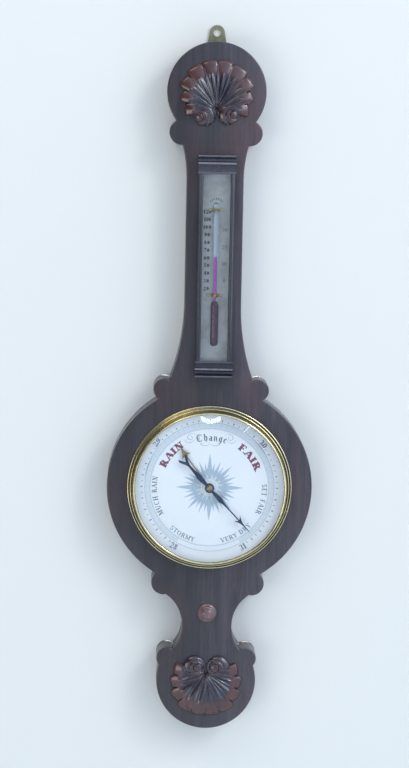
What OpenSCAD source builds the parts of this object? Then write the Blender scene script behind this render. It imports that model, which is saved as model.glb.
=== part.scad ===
// Aneroid banjo barometer with a boxed thermometer.
// Millimetres. X to the viewer's right, Z up, the front faces -Y and the wall is the plane Y = 0.
// The origin is the centre of the hanging hole. Depths are measured from the wall to the front.

/* [Case] */
// Depth of the case from the wall to its front face
case_depth = 44; // [43:0.5:52]
// Thickness of the front board
front_t = 12; // [11:0.5:14]
// Radius of the round head
head_r = 66.2; // [62:0.2:70]
// Height of the hanging hole above the centre of the head
hang_h = 78.7; // [77:0.1:86]
// Radius of the round body
body_r = 139.5; // [136:0.5:150]
// Distance from the centre of the head down to the centre of the body
body_drop = 534; // [528:0.5:555]
// Radius of the round foot
foot_r = 68; // [62:0.5:71]
// Distance from the centre of the head down to the centre of the foot
foot_drop = 802.3; // [796:0.1:815]
// Half-width of the straight neck
neck_half = 38.1; // [36:0.1:42]
// Radius of the flare at the top of the neck
flare_top_r = 175; // [150:1:220]
// Radius of the flare at the bottom of the neck
flare_low_r = 290; // [260:1:330]
// Half-width of the waist above the foot
waist_half = 33.9; // [30:0.1:38]
// Radius of the curve of the waist
waist_r = 52.4; // [48:0.1:58]

/* [Ears] */
// Radius of the ears under the head
head_ear_r = 17; // [15:0.1:19]
// Radius of the ears above the body
top_ear_r = 14.9; // [13:0.1:17]
// Radius of the ears below the body
low_ear_r = 16.5; // [14:0.1:18]
// Radius of the ears above the foot
foot_ear_r = 14.5; // [13:0.1:16]

/* [Back and hanging plate] */
// Thickness of the back cover
back_t = 3; // [2.5:0.1:4]
// Thickness of the hanging plate
hang_t = 2; // [1.5:0.1:3]
// Radius of the hanging hole
hang_hole_r = 5; // [4:0.1:6]
// Half-width of the hanging plate on the case
hang_half = 12.7; // [11:0.1:16]
// Radius of the hollow behind the dial
hollow_r = 116; // [110:0.5:118]

/* [Carved shells] */
// Height that the upper shell stands proud
upper_relief = 9; // [7:0.5:12]
// Length of the middle lobe of the upper shell
upper_len = 66.2; // [60:0.2:70]
// Height that the lower shell stands proud
lower_relief = 9; // [7:0.5:12]
// Length of the middle lobes of the lower shell
lower_len = 60.4; // [56:0.2:68]

/* [Thermometer] */
// Width of the thermometer box
therm_w = 48.1; // [46:0.1:52]
// Height of the thermometer box
therm_h = 297.7; // [290:0.1:304]
// Height that the rails of the box stand proud
rail_proud = 14; // [14:0.5:17]
// Width of a rail
rail_w = 5.9; // [5:0.1:7]
// Thickness of the thermometer glass
therm_glass_t = 2; // [1.5:0.1:2.5]
// Height of the top moulding
top_mould_h = 25; // [24:0.1:28]
// Height of the bottom moulding
low_mould_h = 22; // [20:0.1:25]
// Distance from the centre of the head down to the top of the box
box_drop = 84; // [82:0.5:92]
// Height of the bottom of the tube above the bottom moulding
tube_rise = 19.5; // [15:0.5:24]
// Sideways place of the box, as fitted
therm_x = 2; // [-3:0.5:3]
// Radius of the tube
tube_r = 3.2; // [2.8:0.1:3.4]
// Radius of the bulb
bulb_r = 5.2; // [4.6:0.1:5.4]
// Length of the bulb
bulb_len = 59.5; // [50:0.5:66]
// Length of the whole tube with its bulb
tube_len = 193.5; // [180:0.5:205]
// Length of the red column above the bulb
column_len = 61; // [10:1:105]

/* [Dial and bezel] */
// Radius of the dial that shows inside the bezel
dial_show_r = 101.2; // [98:0.2:102]
// Width of the bezel, from its inner edge to its outer edge
bezel_w = 10.9; // [10.3:0.1:12]
// Height that the bezel stands proud
bezel_h = 16; // [15:0.5:19]
// Thickness of the dial glass
glass_t = 3; // [2.5:0.1:3.2]
// Width of the bevel of the dial glass
glass_bevel = 9; // [6:0.5:12]
// Thickness of the white dial
dial_t = 0.8; // [0.5:0.1:1]
// Thickness of the plate that carries the dial
dial_plate_t = 1.5; // [1:0.1:2]
// Direction of the indicator hand at rest, clockwise from the top
hand_angle = 137; // [0:1:150]
// Direction of the set hand at rest, clockwise from the top
set_angle = -36.5; // [-150:0.5:150]
// Length of the indicator hand from its hub to its point
hand_len = 84.5; // [80:0.5:87]
// Length of the tail of the indicator hand
tail_len = 47; // [42:0.5:50]
// Length of the set hand
set_len = 68; // [60:0.5:74]

/* [Setting knob] */
// Distance from the centre of the body down to the knob
knob_drop = 174; // [170:0.5:180]
// Radius of the rose under the knob
rose_r = 12.9; // [12:0.1:14]
// Radius of the knob
knob_r = 10.4; // [9:0.1:11]
// Length of the knob
knob_len = 8.4; // [7:0.1:10]
// Radius to the middle of the cord on the knob's pulley
knob_pulley_r = 10; // [8:0.1:11]
// Radius to the middle of the cord on the set hand's pulley
hand_pulley_r = 15; // [13:0.1:17]
// Radius of the cord
cord_r = 0.6; // [0.4:0.05:0.7]

/* [Movement] */
// Radius of the base plate
base_r = 62; // [60:0.5:64]
// Thickness of the base plate
base_t = 2; // [1.6:0.1:2.4]
// Radius of the vacuum capsule
capsule_r = 30; // [26:0.5:31]
// Thickness of the vacuum capsule
capsule_t = 7; // [6:0.1:8]
// Thickness of the mainspring
spring_t = 1.5; // [1.2:0.1:1.8]
// Width of the mainspring
spring_w = 24; // [18:0.5:26]
// Radius of the chain drum on the arbor
drum_r = 1; // [0.9:0.05:1.3]
// Radius of the arbor of the indicator hand
arbor_r = 0.8; // [0.7:0.05:0.85]
// Length of the link arm on the rocking shaft
link_arm = 3; // [2.8:0.1:3.4]
// Turn of the rocking shaft from its middle place, at rest
rock_angle = 14.2; // [0:0.1:15]

/* [Hidden] */
$fn = 72;

// Clearances
run = 0.05;       // radial clearance of a shaft in its bearing
loose = 0.3;      // clearance of a part that lies free beside another
fit = 0.15;       // clearance of a part let into wood

// Centres of the round parts, as [x, z]
head = [0, -hang_h];
body = [0, head[1] - body_drop];
foot = [0, head[1] - foot_drop];
knob = [0, body[1] - knob_drop];

// Ears: how far their centres stand out of the circle they grow from, and in which direction
head_ear_out = 4.8;
top_ear_out = 8.1;
low_ear_out = 6.4;
foot_ear_in = 6;
head_ear = head + (head_r + head_ear_out) * [sin(39.6), -cos(39.6)];
top_ear = body + (body_r + top_ear_out) * [sin(25.4), cos(25.4)];
low_ear = body + (body_r + low_ear_out) * [sin(24.5), -cos(24.5)];
foot_ear = foot + (foot_r - foot_ear_in) * [sin(60.5), cos(60.5)];

// Heights on the neck and the waist
flare_top_drop = 45;
flare_low_rise = 115;
waist_rise = 45.5;
neck_top = head_ear[1] - head_ear_r;
neck_low = top_ear[1];
flare_top_z = neck_top - flare_top_drop;
flare_low_z = neck_low + flare_low_rise;
waist_z = foot_ear[1] + waist_rise;

// Depths at the front
front_back = case_depth - front_t;
bezel_r = dial_show_r + bezel_w;
dial_seat_r = bezel_r - 4.3;
dial_seat = 3;
dial_back = case_depth - dial_seat;
card_back = dial_back + dial_plate_t;
card_face = card_back + dial_t;
dial_r = dial_seat_r - 0.5;
card_r = dial_r - 3.7;
dial_hole_r = dial_seat_r - 10;

// Bezel and glass
bezel_top = case_depth + bezel_h;
bezel_bore = dial_show_r + 1.8;
lip_under = bezel_top - 2.3;
glass_face = bezel_top - 1;
glass_back = glass_face - glass_t;
glass_r = bezel_bore - 0.2;
glass_edge = lip_under - 0.1 - glass_back;
ring_t = 1.8;
groove_r = bezel_r - 2.7;
groove_floor = 2.2;
pin_angles = [2.5, 106.5, 221];
pin_head_r = 0.95;

// Channel of the setting cord, cut in the back of the front board
channel_half = 16;
channel_floor = case_depth - 3.5;
pulley_w = 2.8;
pulley_front = dial_back - 1.2;
pulley_back = pulley_front - pulley_w;
cord_d = (pulley_front + pulley_back) / 2;

// Back cover
cover_ledge = 6;
cover_angles = [22.5 : 45 : 337.5];
cover_screw_r = hollow_r + cover_ledge / 2;
cover_screw_len = 12;

// Movement, from the dial backwards to the cocks of the arbor
cock_t = 1.3;
front_cock_front = pulley_back - 1;
front_cock_back = front_cock_front - cock_t;
hair_front = front_cock_back - 0.9;
hair_w = 0.5;
hair_back = hair_front - hair_w;
flange_t = 0.4;
chain_w = 1.2;
chain_t = 0.5;
drum_front = hair_back - 0.4;
chain_d = drum_front - flange_t - 0.2 - chain_w / 2;
drum_back = chain_d - chain_w / 2 - 0.2 - flange_t;
rear_cock_front = drum_back - 1.8;
rear_cock_back = rear_cock_front - cock_t;

// Movement, from the rear cock back to the base plate
post_gap = 1.6;
post_tip = 0.8;
post_r = 2;
knife_t = 2;
knife_w = 2;
knife_front = rear_cock_back - post_gap - post_tip;
spring_front = knife_front - knife_t - 0.1;
spring_back = spring_front - spring_t;
capsule_front = spring_back - 3;
capsule_back = capsule_front - capsule_t;
stud_h = 1;
base_front = capsule_back - stud_h;
base_back = base_front - base_t;
bridge_h = 4;
lower_limb = base_front + bridge_h;
loop_x = 46;
loop_mid = (spring_back + lower_limb + spring_t) / 2;
loop_r = spring_back + spring_t / 2 - loop_mid;
lever_t = 1.2;
lever_foot = base_front + 2.5;

// Rocking shaft and its arms
shaft_x = -47;
chain_arm = 12.95;
shaft_d = chain_d + loose / 2 - chain_arm;
shaft_r = 1.5;
pivot_r = 0.6;
link_z = [2.6, 3.4];
link_eye = 1.35;
rock_pin = [shaft_x + link_arm * cos(rock_angle), shaft_d - link_arm * sin(rock_angle)];
link_len = 4.3;
lever_pin = [rock_pin[0], rock_pin[1] - link_len];
chain_pin = [shaft_x + chain_arm * sin(rock_angle), shaft_d + chain_arm * cos(rock_angle)];
chain_z = drum_r + 0.1;

// Places of the supports of the movement, beside its centre
pillar_out = [38, 42];
pillar_at = [for (sx = [-1, 1], sz = [-1, 1]) [pillar_out[0] * sx, body[1] + pillar_out[1] * sz]];
cock_half = 36;
post_at = [for (sz = [-1, 1]) [0, body[1] + cock_half * sz]];

// Hands
pipe_r = 2.5;
pipe_bore = 1.2;
bush_flange = card_face + 0.8;
set_back = card_face + 3.2;
set_t = 0.8;
pipe_front = set_back + set_t + 1;
hand_back = pipe_front + 1.4;
hand_t = 0.8;
arbor_front = hand_back + 2.2;
cap_r = 4.35;
cap_h = 3;

// Thermometer
box_top = head[1] - box_drop;
box_low = box_top - therm_h;
win_top = box_top - top_mould_h;
win_low = box_low + low_mould_h;
plate_sink = 2.5;
scale_t = 1;
scale_face = case_depth - plate_sink + scale_t;
tube_d = scale_face + bulb_r + 0.5;
tube_low = win_low + tube_rise;
tube_top = tube_low + tube_len;
bulb_top = tube_low + bulb_len;
spirit_r = 1.1;
glass_groove = 2;
therm_glass_back = case_depth + rail_proud - 1.6 - therm_glass_t;
clip_z = [tube_top - 10.5, bulb_top + 9];
clip_half = 11;

// Points at a direction measured clockwise from the top
function clock(a, r) = [r * sin(a), r * cos(a)];

module slab(d0, d1) {
    translate([0, -d0, 0]) rotate([90, 0, 0]) linear_extrude(d1 - d0) children();
}

module spun(c, d0) {
    translate([c[0], -d0, c[1]]) rotate([90, 0, 0]) rotate_extrude() children();
}

module rod(c, d0, d1, r) {
    translate([c[0], -d0, c[1]]) rotate([90, 0, 0]) cylinder(h = d1 - d0, r = r);
}

// A countersunk screw whose head is flush at depth d0 and which points to the front
module screw_front(c, d0, head_r, shank_r, length) {
    translate([c[0], -d0, c[1]]) rotate([90, 0, 0]) difference() {
        union() {
            cylinder(h = head_r - shank_r, r1 = head_r, r2 = shank_r);
            cylinder(h = length, r = shank_r);
        }
        translate([-head_r, -0.3, -1]) cube([2 * head_r, 0.6, 1.6]);
    }
}

// A plate seen from above, in [x, depth], between two heights beside the body's centre
module shelf(z0, z1) {
    translate([0, 0, body[1] + z0]) mirror([0, 1, 0]) linear_extrude(z1 - z0) children();
}

// A pin or shaft along Z between two heights beside the body's centre
module upright(p, z0, z1, r) {
    translate([p[0], -p[1], body[1] + z0]) cylinder(h = z1 - z0, r = r);
}

module pair() {
    children();
    mirror([1, 0]) children();
}

module disc(c, r) {
    translate(c) circle(r);
}

module box2(half, z0, z1) {
    translate([-half, z0]) square([2 * half, z1 - z0]);
}

// Outline of the case, seen from the front
module neck_outline() {
    difference() {
        box2(top_ear[0], neck_low, neck_top);
        pair() {
            translate([neck_half, flare_low_z]) square([top_ear[0], flare_top_z - flare_low_z]);
            disc([neck_half + flare_top_r, flare_top_z], flare_top_r);
            disc([neck_half + flare_low_r, flare_low_z], flare_low_r);
        }
    }
}

module waist_outline() {
    difference() {
        box2(low_ear[0], foot_ear[1], low_ear[1]);
        pair() disc([waist_half + waist_r, waist_z], waist_r);
    }
}

module foot_outline() {
    intersection() {
        disc(foot, foot_r);
        box2(foot_r + 1, foot[1] - foot_r - 1, foot_ear[1]);
    }
}

module outline() {
    disc(head, head_r);
    box2(head_ear[0] - 1, neck_top - 1, head[1]);
    neck_outline();
    box2(top_ear[0] - top_ear_r / 2, body[1], top_ear[1]);
    disc(body, body_r);
    box2(low_ear[0] - low_ear_r / 2, low_ear[1] - 1, body[1]);
    waist_outline();
    foot_outline();
    pair() {
        disc(head_ear, head_ear_r);
        disc(top_ear, top_ear_r);
        disc(low_ear, low_ear_r);
        disc(foot_ear, foot_ear_r);
    }
}

// The hollow behind the dial with its channel down to the knob
module hollow(grow) {
    disc(body, hollow_r + grow);
    box2(channel_half + grow, knob[1], body[1]);
    disc(knob, channel_half + grow);
}

module cover_screw_places() {
    for (a = cover_angles) translate(body + clock(a, cover_screw_r)) children();
    translate(knob - [0, channel_half + cover_ledge / 2]) children();
}

// Lobes of a shell: direction, length and radius of the rounded end, for one half
function upper_lobes(l) = [[9.5, l, 10], [29.5, l - 1, 10.5], [49.5, l - 6, 10],
    [68.5, l - 14.5, 9.5], [89, l - 23, 9.5]];
function lower_lobes(l) = [[10, l, 10.5], [31, l - 0.4, 10.5], [52, l - 4.6, 10.5],
    [74, l - 10, 10], [97, l - 15.6, 10.5]];

module lobe_outline(a, length, r) {
    rotate(a) {
        polygon([[-3, 0], [3, 0], [r, length - r], [-r, length - r]]);
        translate([0, length - r]) circle(r);
    }
}

// A tapered rib with a blunt end, which starts inside the hub of its shell
module lobe_rib(a, length, r) {
    rotate([0, 0, a]) translate([0, hub_r * 0.6, 0]) rotate([-90, 0, 0]) rotate_extrude()
        polygon([[0, 0], [r * 0.4, 0], [r, length - r - hub_r * 0.6], [r * 0.5, length - hub_r * 0.6 - 0.5],
            [0, length - hub_r * 0.6 - 0.5]]);
}

hub_r = 9;
rib_sink = 10;

// A shell in its own plane, its lobes growing up from the origin, its back at height 0
module shell_form(lobes, relief, scroll_x, scroll_y, scroll_r) {
    reach = 2 * lobes[0][1];
    all_lobes = concat([for (l = lobes) [-l[0], l[1], l[2]]], [for (l = lobes) l]);
    linear_extrude(relief * 0.35) union() {
        for (l = all_lobes) lobe_outline(-l[0], l[1], l[2]);
        for (s = [-1, 1]) translate([s * scroll_x, scroll_y]) circle(scroll_r);
    }
    intersection() {
        union() for (l = all_lobes) translate([0, 0, relief - rib_sink]) lobe_rib(-l[0], l[1], l[2]);
        translate([-reach, -reach, 0]) cube([2 * reach, 2 * reach, 2 * relief]);
    }
    cylinder(h = relief * 0.6, r = hub_r);
    for (s = [-1, 1]) translate([s * scroll_x, scroll_y, 0]) {
        cylinder(h = relief * 0.8, r = scroll_r - 1);
        cylinder(h = relief, r = scroll_r * 0.4);
    }
}

module case_front() {
    color("#3b2a26") difference() {
        slab(front_back, case_depth) outline();
        slab(front_back - 1, case_depth + 1) disc(body, dial_hole_r);
        slab(dial_back, case_depth + 1) disc(body, dial_seat_r);
        slab(front_back - 1, channel_floor) {
            box2(channel_half, knob[1], body[1]);
            disc(knob, channel_half);
        }
        rod(knob, front_back, case_depth + 1, bush_r);
        slab(case_depth - plate_sink, case_depth + 1) translate([therm_x, 0])
            box2(scale_half + fit, scale_low - fit, scale_top + fit);
        rod(plug_at, case_depth - plug_deep, case_depth + 1, plug_r);
        for (a = pin_angles) rod(body + clock(a, groove_r), case_depth - pin_deep, case_depth + 1, pin_r);
        for (a = dial_screw_angles) rod(body + clock(a, dial_screw_at), dial_back - 8, dial_back + 1, 1);
        for (p = scale_pin_at) rod(p, scale_face - pin_deep, case_depth, pin_r);
    }
}

module case_body() {
    color("#33231f") difference() {
        slab(0, front_back) outline();
        slab(-1, front_back + 1) hollow(0);
        slab(-1, back_t) hollow(cover_ledge + 0.25);
        slab(-1, hang_t) hang_outline(fit);
        for (p = hang_screw_at) rod(p, -1, 18, hang_screw_r);
        translate([0, 1 - back_t, 0]) rotate([90, 0, 0]) linear_extrude(cover_screw_len - back_t + 1)
            cover_screw_places() circle(1.2);
    }
}

module back_cover() {
    color("#5a4334") difference() {
        slab(0, back_t) hollow(cover_ledge);
        translate([0, 1, 0]) rotate([90, 0, 0]) linear_extrude(back_t + 2) cover_screw_places() circle(1.2);
        for (a = cover_angles) cover_sink(body + clock(a, cover_screw_r));
        cover_sink(knob - [0, channel_half + cover_ledge / 2]);
        rod([loop_x - 4, body[1]], -1, back_t + 1, access_r);
    }
}

module cover_sink(c) {
    translate([c[0], 0, c[1]]) rotate([90, 0, 0]) cylinder(h = 1.4, r1 = 2.6, r2 = 1.2);
}

module back_screws() {
    color("goldenrod") {
        for (a = cover_angles) screw_front(body + clock(a, cover_screw_r), 0, 2.6, 1.2, cover_screw_len);
        screw_front(knob - [0, channel_half + cover_ledge / 2], 0, 2.6, 1.2, cover_screw_len);
    }
}

// Hanging plate
hang_screw_at = [[-6.5, -30], [6.5, -30], [0, -50]];
hang_screw_r = 1.6;
hang_top_r = 10.2;
hang_low = 60;
hang_wide = 14;

module hang_outline(grow) {
    low = -hang_low - grow;
    circle(hang_top_r + grow);
    polygon([[-hang_top_r - grow, 0], [hang_top_r + grow, 0], [hang_half + grow, -hang_wide],
        [hang_half + grow, low], [-hang_half - grow, low], [-hang_half - grow, -hang_wide]]);
}

module hanging_plate() {
    color("#9a8a5c") difference() {
        slab(0, hang_t) hang_outline(0);
        rod([0, 0], -1, hang_t + 1, hang_hole_r);
        for (p = hang_screw_at) {
            rod(p, -1, hang_t + 1, hang_screw_r);
            translate([p[0], 0, p[1]]) rotate([90, 0, 0]) cylinder(h = 1.4, r1 = 3, r2 = 1.6);
        }
    }
}

module hanging_screws() {
    color("#8c8c88") for (p = hang_screw_at) screw_front(p, 0, 3, hang_screw_r, 18);
}

// Wooden plug above the upper shell
plug_r = 4;
plug_deep = 6;
plug_in = 14.4;
plug_at = head + [0, head_r - plug_in];

module head_plug() {
    color("#2c1f1b") rod(plug_at, case_depth - plug_deep, case_depth + 0.3, plug_r);
}

upper_drop = 23.6;
lower_rise = 8.2;

module upper_shell() {
    color("#5c2a22") translate([0, -case_depth, head[1] - upper_drop]) rotate([90, 0, 0])
        shell_form(upper_lobes(upper_len), upper_relief, 13.2, -6.2, 13.8);
}

module lower_shell() {
    color("#5c2a22") translate([0, -case_depth, foot[1] + lower_rise]) rotate([90, 0, 0]) rotate([0, 0, 180])
        shell_form(lower_lobes(lower_len), lower_relief, 15, -8, 15.6);
}

// Thermometer box
win_half = therm_w / 2 - rail_w;
scale_half = win_half + 2.5;
scale_top = win_top + 2;
scale_low = win_low - 2;
rail_d = case_depth + rail_proud;
scale_pin_at = [[therm_x, win_top - 5], [therm_x, win_low + 5]];
pin_r = 0.7;
pin_deep = 8;

module rail() {
    difference() {
        translate([win_half, -rail_d, win_low]) cube([rail_w, rail_proud, win_top - win_low]);
        translate([win_half - 1, -(therm_glass_back + therm_glass_t + fit), win_low - 1])
            cube([1 + glass_groove, therm_glass_t + 2 * fit, win_top - win_low + 2]);
        translate([win_half + rail_w - 1.2, -rail_d - 1, win_low - 1])
            cube([2, 3, win_top - win_low + 2]);
    }
}

module therm_rail_left() {
    color("#1e1a1d") translate([therm_x, 0, 0]) mirror([1, 0, 0]) rail();
}

module therm_rail_right() {
    color("#1e1a1d") translate([therm_x, 0, 0]) rail();
}

// Profile of a moulding in [height, length from its outer end]
module mould_profile(len, high) {
    polygon([[0, 0], [high, 0], [high, 2], [high - 2.5, 3.6], [high - 4.5, 6.5], [high - 5, 9.4],
        [high - 1.5, 9.4], [high - 0.6, 10.2], [high - 0.2, 11.5], [high - 0.6, 12.8],
        [high - 1.5, 13.6], [high - 3, 13.8], [high - 3, len - 3], [high - 2, len - 2.6],
        [high - 2, len], [0, len]]);
}

module moulding(len, high, overhang) {
    difference() {
        translate([-therm_w / 2 - overhang, 0, 0]) rotate([0, 90, 0]) rotate([0, 0, -90])
            linear_extrude(therm_w + 2 * overhang) mould_profile(len, high);
        groove_out = therm_glass_back - case_depth + therm_glass_t + fit;
        translate([-win_half - glass_groove, -groove_out, -len - 1])
            cube([2 * (win_half + glass_groove), therm_glass_t + 2 * fit, glass_groove + 1]);
    }
}

module therm_top_moulding() {
    color("#1e1a1d") translate([therm_x, -case_depth, box_top]) moulding(top_mould_h, rail_proud + 1, 1.2);
}

module therm_bottom_moulding() {
    color("#1e1a1d") translate([therm_x, -case_depth, box_low]) mirror([0, 0, 1])
        moulding(low_mould_h, rail_proud + 1, 1.2);
}

module therm_glass() {
    reach = glass_groove - 0.2;
    color("#c8d8dc", 0.3) translate([therm_x, 0, 0]) slab(therm_glass_back, therm_glass_back + therm_glass_t)
        box2(win_half + reach, win_low - reach, win_top + reach);
}

module therm_scale() {
    color("#a9b0b4") translate([therm_x, 0, 0]) difference() {
        slab(scale_face - scale_t, scale_face) box2(scale_half, scale_low, scale_top);
        for (p = scale_pin_at) rod([0, p[1]], scale_face - 2, scale_face + 1, pin_r);
        for (z = clip_z, s = [-1, 1]) rod([s * (clip_half - 2.6), z], scale_face - 2, scale_face + 1, pin_r);
    }
}

module therm_axis() {
    translate([therm_x, -tube_d, 0]) children();
}

module therm_tube() {
    color("#d8e4e8", 0.4) therm_axis() difference() {
        translate([0, 0, tube_low]) rotate_extrude()
            polygon([[0, 0], [bulb_r - 2, 0.6], [bulb_r - 0.6, 2], [bulb_r, 4], [bulb_r, bulb_len - 5],
                [bulb_r - 0.7, bulb_len - 2.5], [tube_r, bulb_len], [tube_r, tube_len - 2],
                [tube_r - 1, tube_len - 0.5], [0, tube_len]]);
        translate([0, 0, tube_low]) rotate_extrude() polygon(spirit_profile(run, tube_len - 3));
    }
}

// Profile of the space of the spirit, grown by a clearance, up to a height
function spirit_profile(grow, top) = [[0, 1 - grow], [bulb_r - 2.6 + grow, 1.4 - grow],
    [bulb_r - 1 + grow, 4], [bulb_r - 1 + grow, bulb_len - 6], [bulb_r - 2 + grow, bulb_len - 3],
    [spirit_r + grow, bulb_len + 0.6], [spirit_r + grow, top + grow], [0, top + grow]];

module therm_spirit() {
    color("#b0206a") therm_axis() translate([0, 0, tube_low]) rotate_extrude()
        polygon(spirit_profile(0, bulb_len + column_len));
}

// A clip: a strap over the tube with a foot on each side
module clip(z) {
    strap = 0.6;
    wide = 3.2;
    translate([therm_x, 0, z - wide / 2]) mirror([0, 1, 0]) linear_extrude(wide) {
        difference() {
            union() {
                translate([0, tube_d]) circle(tube_r + 0.05 + strap);
                translate([-tube_r - 0.05 - strap, scale_face])
                    square([2 * (tube_r + 0.05 + strap), tube_d - scale_face]);
            }
            translate([0, tube_d]) circle(tube_r + 0.05);
            translate([-tube_r - 0.05, scale_face - 1]) square([2 * tube_r + 0.1, tube_d - scale_face + 1]);
        }
        for (s = [-1, 1]) translate([s > 0 ? tube_r + 0.05 : -clip_half, scale_face])
            square([clip_half - tube_r - 0.05, strap]);
    }
}

module tube_clips() {
    color("#8a7a4a") difference() {
        for (z = clip_z) clip(z);
        for (z = clip_z, s = [-1, 1])
            rod([therm_x + s * (clip_half - 2.6), z], scale_face - 2, scale_face + 2, pin_r);
    }
}

module clip_pins() {
    color("#6e6238") {
        for (z = clip_z, s = [-1, 1]) {
            rod([therm_x + s * (clip_half - 2.6), z], scale_face - scale_t, scale_face + 1.2, pin_r);
            rod([therm_x + s * (clip_half - 2.6), z], scale_face + 0.6, scale_face + 1.3, 1.3);
        }
        for (p = scale_pin_at) {
            rod(p, scale_face - pin_deep, scale_face + 0.1, pin_r);
            rod(p, scale_face, scale_face + 0.5, 1.3);
        }
    }
}

module bezel() {
    r = bezel_r;
    s = dial_show_r;
    h = bezel_h;
    color("#b59a55") difference() {
        spun(body, case_depth) polygon([[bezel_bore, 0], [r, 0], [r, 1.6], [r - 0.3, 2.5], [r - 1, 3],
            [r - 1.8, 2.8], [r - 2.2, groove_floor], [r - 3, groove_floor], [r - 3.2, 4.4],
            [r - 3.6, 5.5], [r - 4.4, 6], [r - 5.1, 5.7], [r - 5.4, 5], [r - 5.9, 5], [r - 6.1, 8],
            [r - 6.7, 10.5], [s + 3.4, 12],
            [s + 3.2, h - 1.6], [s + 2.6, h - 0.5], [s + 1.6, h], [s + 0.7, h - 0.4], [s + 0.1, h - 1.3],
            [s, lip_under - case_depth], [bezel_bore, lip_under - case_depth]]);
        for (a = pin_angles) {
            rod(body + clock(a, groove_r), case_depth - 1, case_depth + 3, pin_r);
            rod(body + clock(a, groove_r), case_depth + groove_floor, case_depth + 8, pin_head_r + 0.05);
        }
    }
}

module bezel_pins() {
    color("#c9b070") for (a = pin_angles) {
        rod(body + clock(a, groove_r), case_depth - pin_deep, case_depth + groove_floor + 0.1, pin_r);
        spun(body + clock(a, groove_r), case_depth + groove_floor)
            polygon([[0, 0], [pin_head_r, 0], [pin_head_r, 0.8], [pin_head_r * 0.6, 1.3], [0, 1.4]]);
    }
}

module dial_glass() {
    color("#d4e2e6", 0.25) spun(body, glass_back)
        polygon([[0, 0], [glass_r, 0], [glass_r, glass_edge], [dial_show_r - 0.3, glass_edge],
            [glass_r - glass_bevel, glass_t], [0, glass_t]]);
}

module glass_ring() {
    color("#8a7440") spun(body, glass_back - ring_t) translate([dial_show_r - 0.2, 0])
        square([bezel_bore - dial_show_r + 0.2, ring_t]);
}

module dial() {
    color("#eef2f2") difference() {
        rod(body, card_back, card_face, card_r);
        rod(body, card_back - 1, card_face + 1, bush_body_r);
    }
}

// Screws that hold the dial plate in its seat
dial_screw_at = dial_r - 1.8;
dial_screw_angles = [30, 150, 270];

module dial_plate() {
    color("#a88f52") difference() {
        rod(body, dial_back, card_back, dial_r);
        rod(body, dial_back - 1, card_back + 1, bush_body_r);
        for (a = dial_screw_angles) rod(body + clock(a, dial_screw_at), dial_back - 1, card_back + 1, 1);
        for (p = pillar_at) rod(p, dial_back - 1, card_back + 1, pillar_tenon);
    }
}

module dial_screws() {
    color("#8c8c88") for (a = dial_screw_angles) {
        rod(body + clock(a, dial_screw_at), dial_back - 8, card_back, 1);
        rod(body + clock(a, dial_screw_at), card_back, card_back + 0.9, 1.7);
    }
}

pillar_r = 3;
pillar_tenon = 1.6;
screw_m = 1.2;
base_screw_head = 0.9;
deep_thread = 6;
short_thread = 3;

module base_plate() {
    color("#a88f52") difference() {
        rod(body, base_back, base_front, base_r);
        for (p = concat(pillar_at, post_at)) rod(p, base_back - 1, base_front + 1, screw_m);
        rod(body, base_back - 1, base_front + 1, pillar_tenon);
        for (p = bridge_screw_at) rod(p, base_back - 1, base_front + 1, screw_m);
        rod([regulator_x, body[1]], base_back - 1, base_front + 1, regulator_r + run);
        for (p = shaft_post_at) rod(p, base_back - 1, base_front + 1, screw_m);
    }
}

module movement_pillars() {
    color("#b59a55") for (p = pillar_at) difference() {
        union() {
            rod(p, base_front, dial_back, pillar_r);
            rod(p, dial_back, card_back, pillar_tenon);
        }
        rod(p, base_front - 1, base_front + deep_thread, screw_m);
    }
}

// A slotted screw through the base plate into a support of its front
module base_screw(p, thread) {
    rod(p, base_back, base_front + thread, screw_m);
    difference() {
        rod(p, base_back - base_screw_head, base_back, 2.2);
        translate([p[0] - 3, 0.5 - base_back, p[1] - 0.25]) cube([6, base_screw_head, 0.5]);
    }
}

module pillar_screws() {
    color("#5a6068") {
        for (p = concat(pillar_at, post_at)) base_screw(p, deep_thread);
        for (p = concat(bridge_screw_at, shaft_post_at)) base_screw(p, short_thread);
    }
}

module capsule_stud() {
    color("#a88f52") {
        rod(body, base_front, capsule_back, 5);
        rod(body, base_back, base_front, pillar_tenon);
    }
}

// Half section of the corrugated capsule, from its rim inwards, on one face
function capsule_face(side) = [for (k = [0 : 20]) let (r = capsule_r - 1.5 - k * (capsule_r - 7.5) / 20)
    [r, capsule_t / 2 + side * (capsule_t / 2 - 0.9 + 0.45 * cos(k * 72))]];

module vacuum_capsule() {
    lower = capsule_face(-1);
    upper = capsule_face(1);
    color("#b8a874") spun(body, capsule_back) polygon(concat([[0, 0], [5.6, 0]],
        [for (k = [20 : -1 : 0]) lower[k]],
        [[capsule_r, capsule_t / 2 - 0.8], [capsule_r, capsule_t / 2 + 0.8]],
        upper, [[5.6, capsule_t], [0, capsule_t]]));
}

module capsule_post() {
    color("#9aa0a4") difference() {
        union() {
            rod(body, capsule_front, capsule_front + 1.5, 4.5);
            rod(body, capsule_front, knife_front + post_tip, post_r);
        }
        translate([-knife_w / 2, -knife_front, body[1] - 5]) cube([knife_w, knife_t, 10]);
    }
}

module knife_edge() {
    color("#5a6068") translate([-knife_w / 2, -knife_front, body[1] - 6]) cube([knife_w, knife_t, 12]);
}

limb_len = 12;
bridge_x = [loop_x - limb_len - 1, loop_x + 4];
bridge_half = 18;
bridge_screw_at = [for (s = [-1, 1]) [loop_x - limb_len / 2, body[1] + s * (bridge_half - 3.5)]];
regulator_x = loop_x - 4;
regulator_r = 2.5;
regulator_head = 2.6;
access_r = 6;
limb_screw_at = [for (s = [-1, 1]) [loop_x - limb_len * 0.75, body[1] + s * (spring_w / 2 - 5.5)]];

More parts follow.
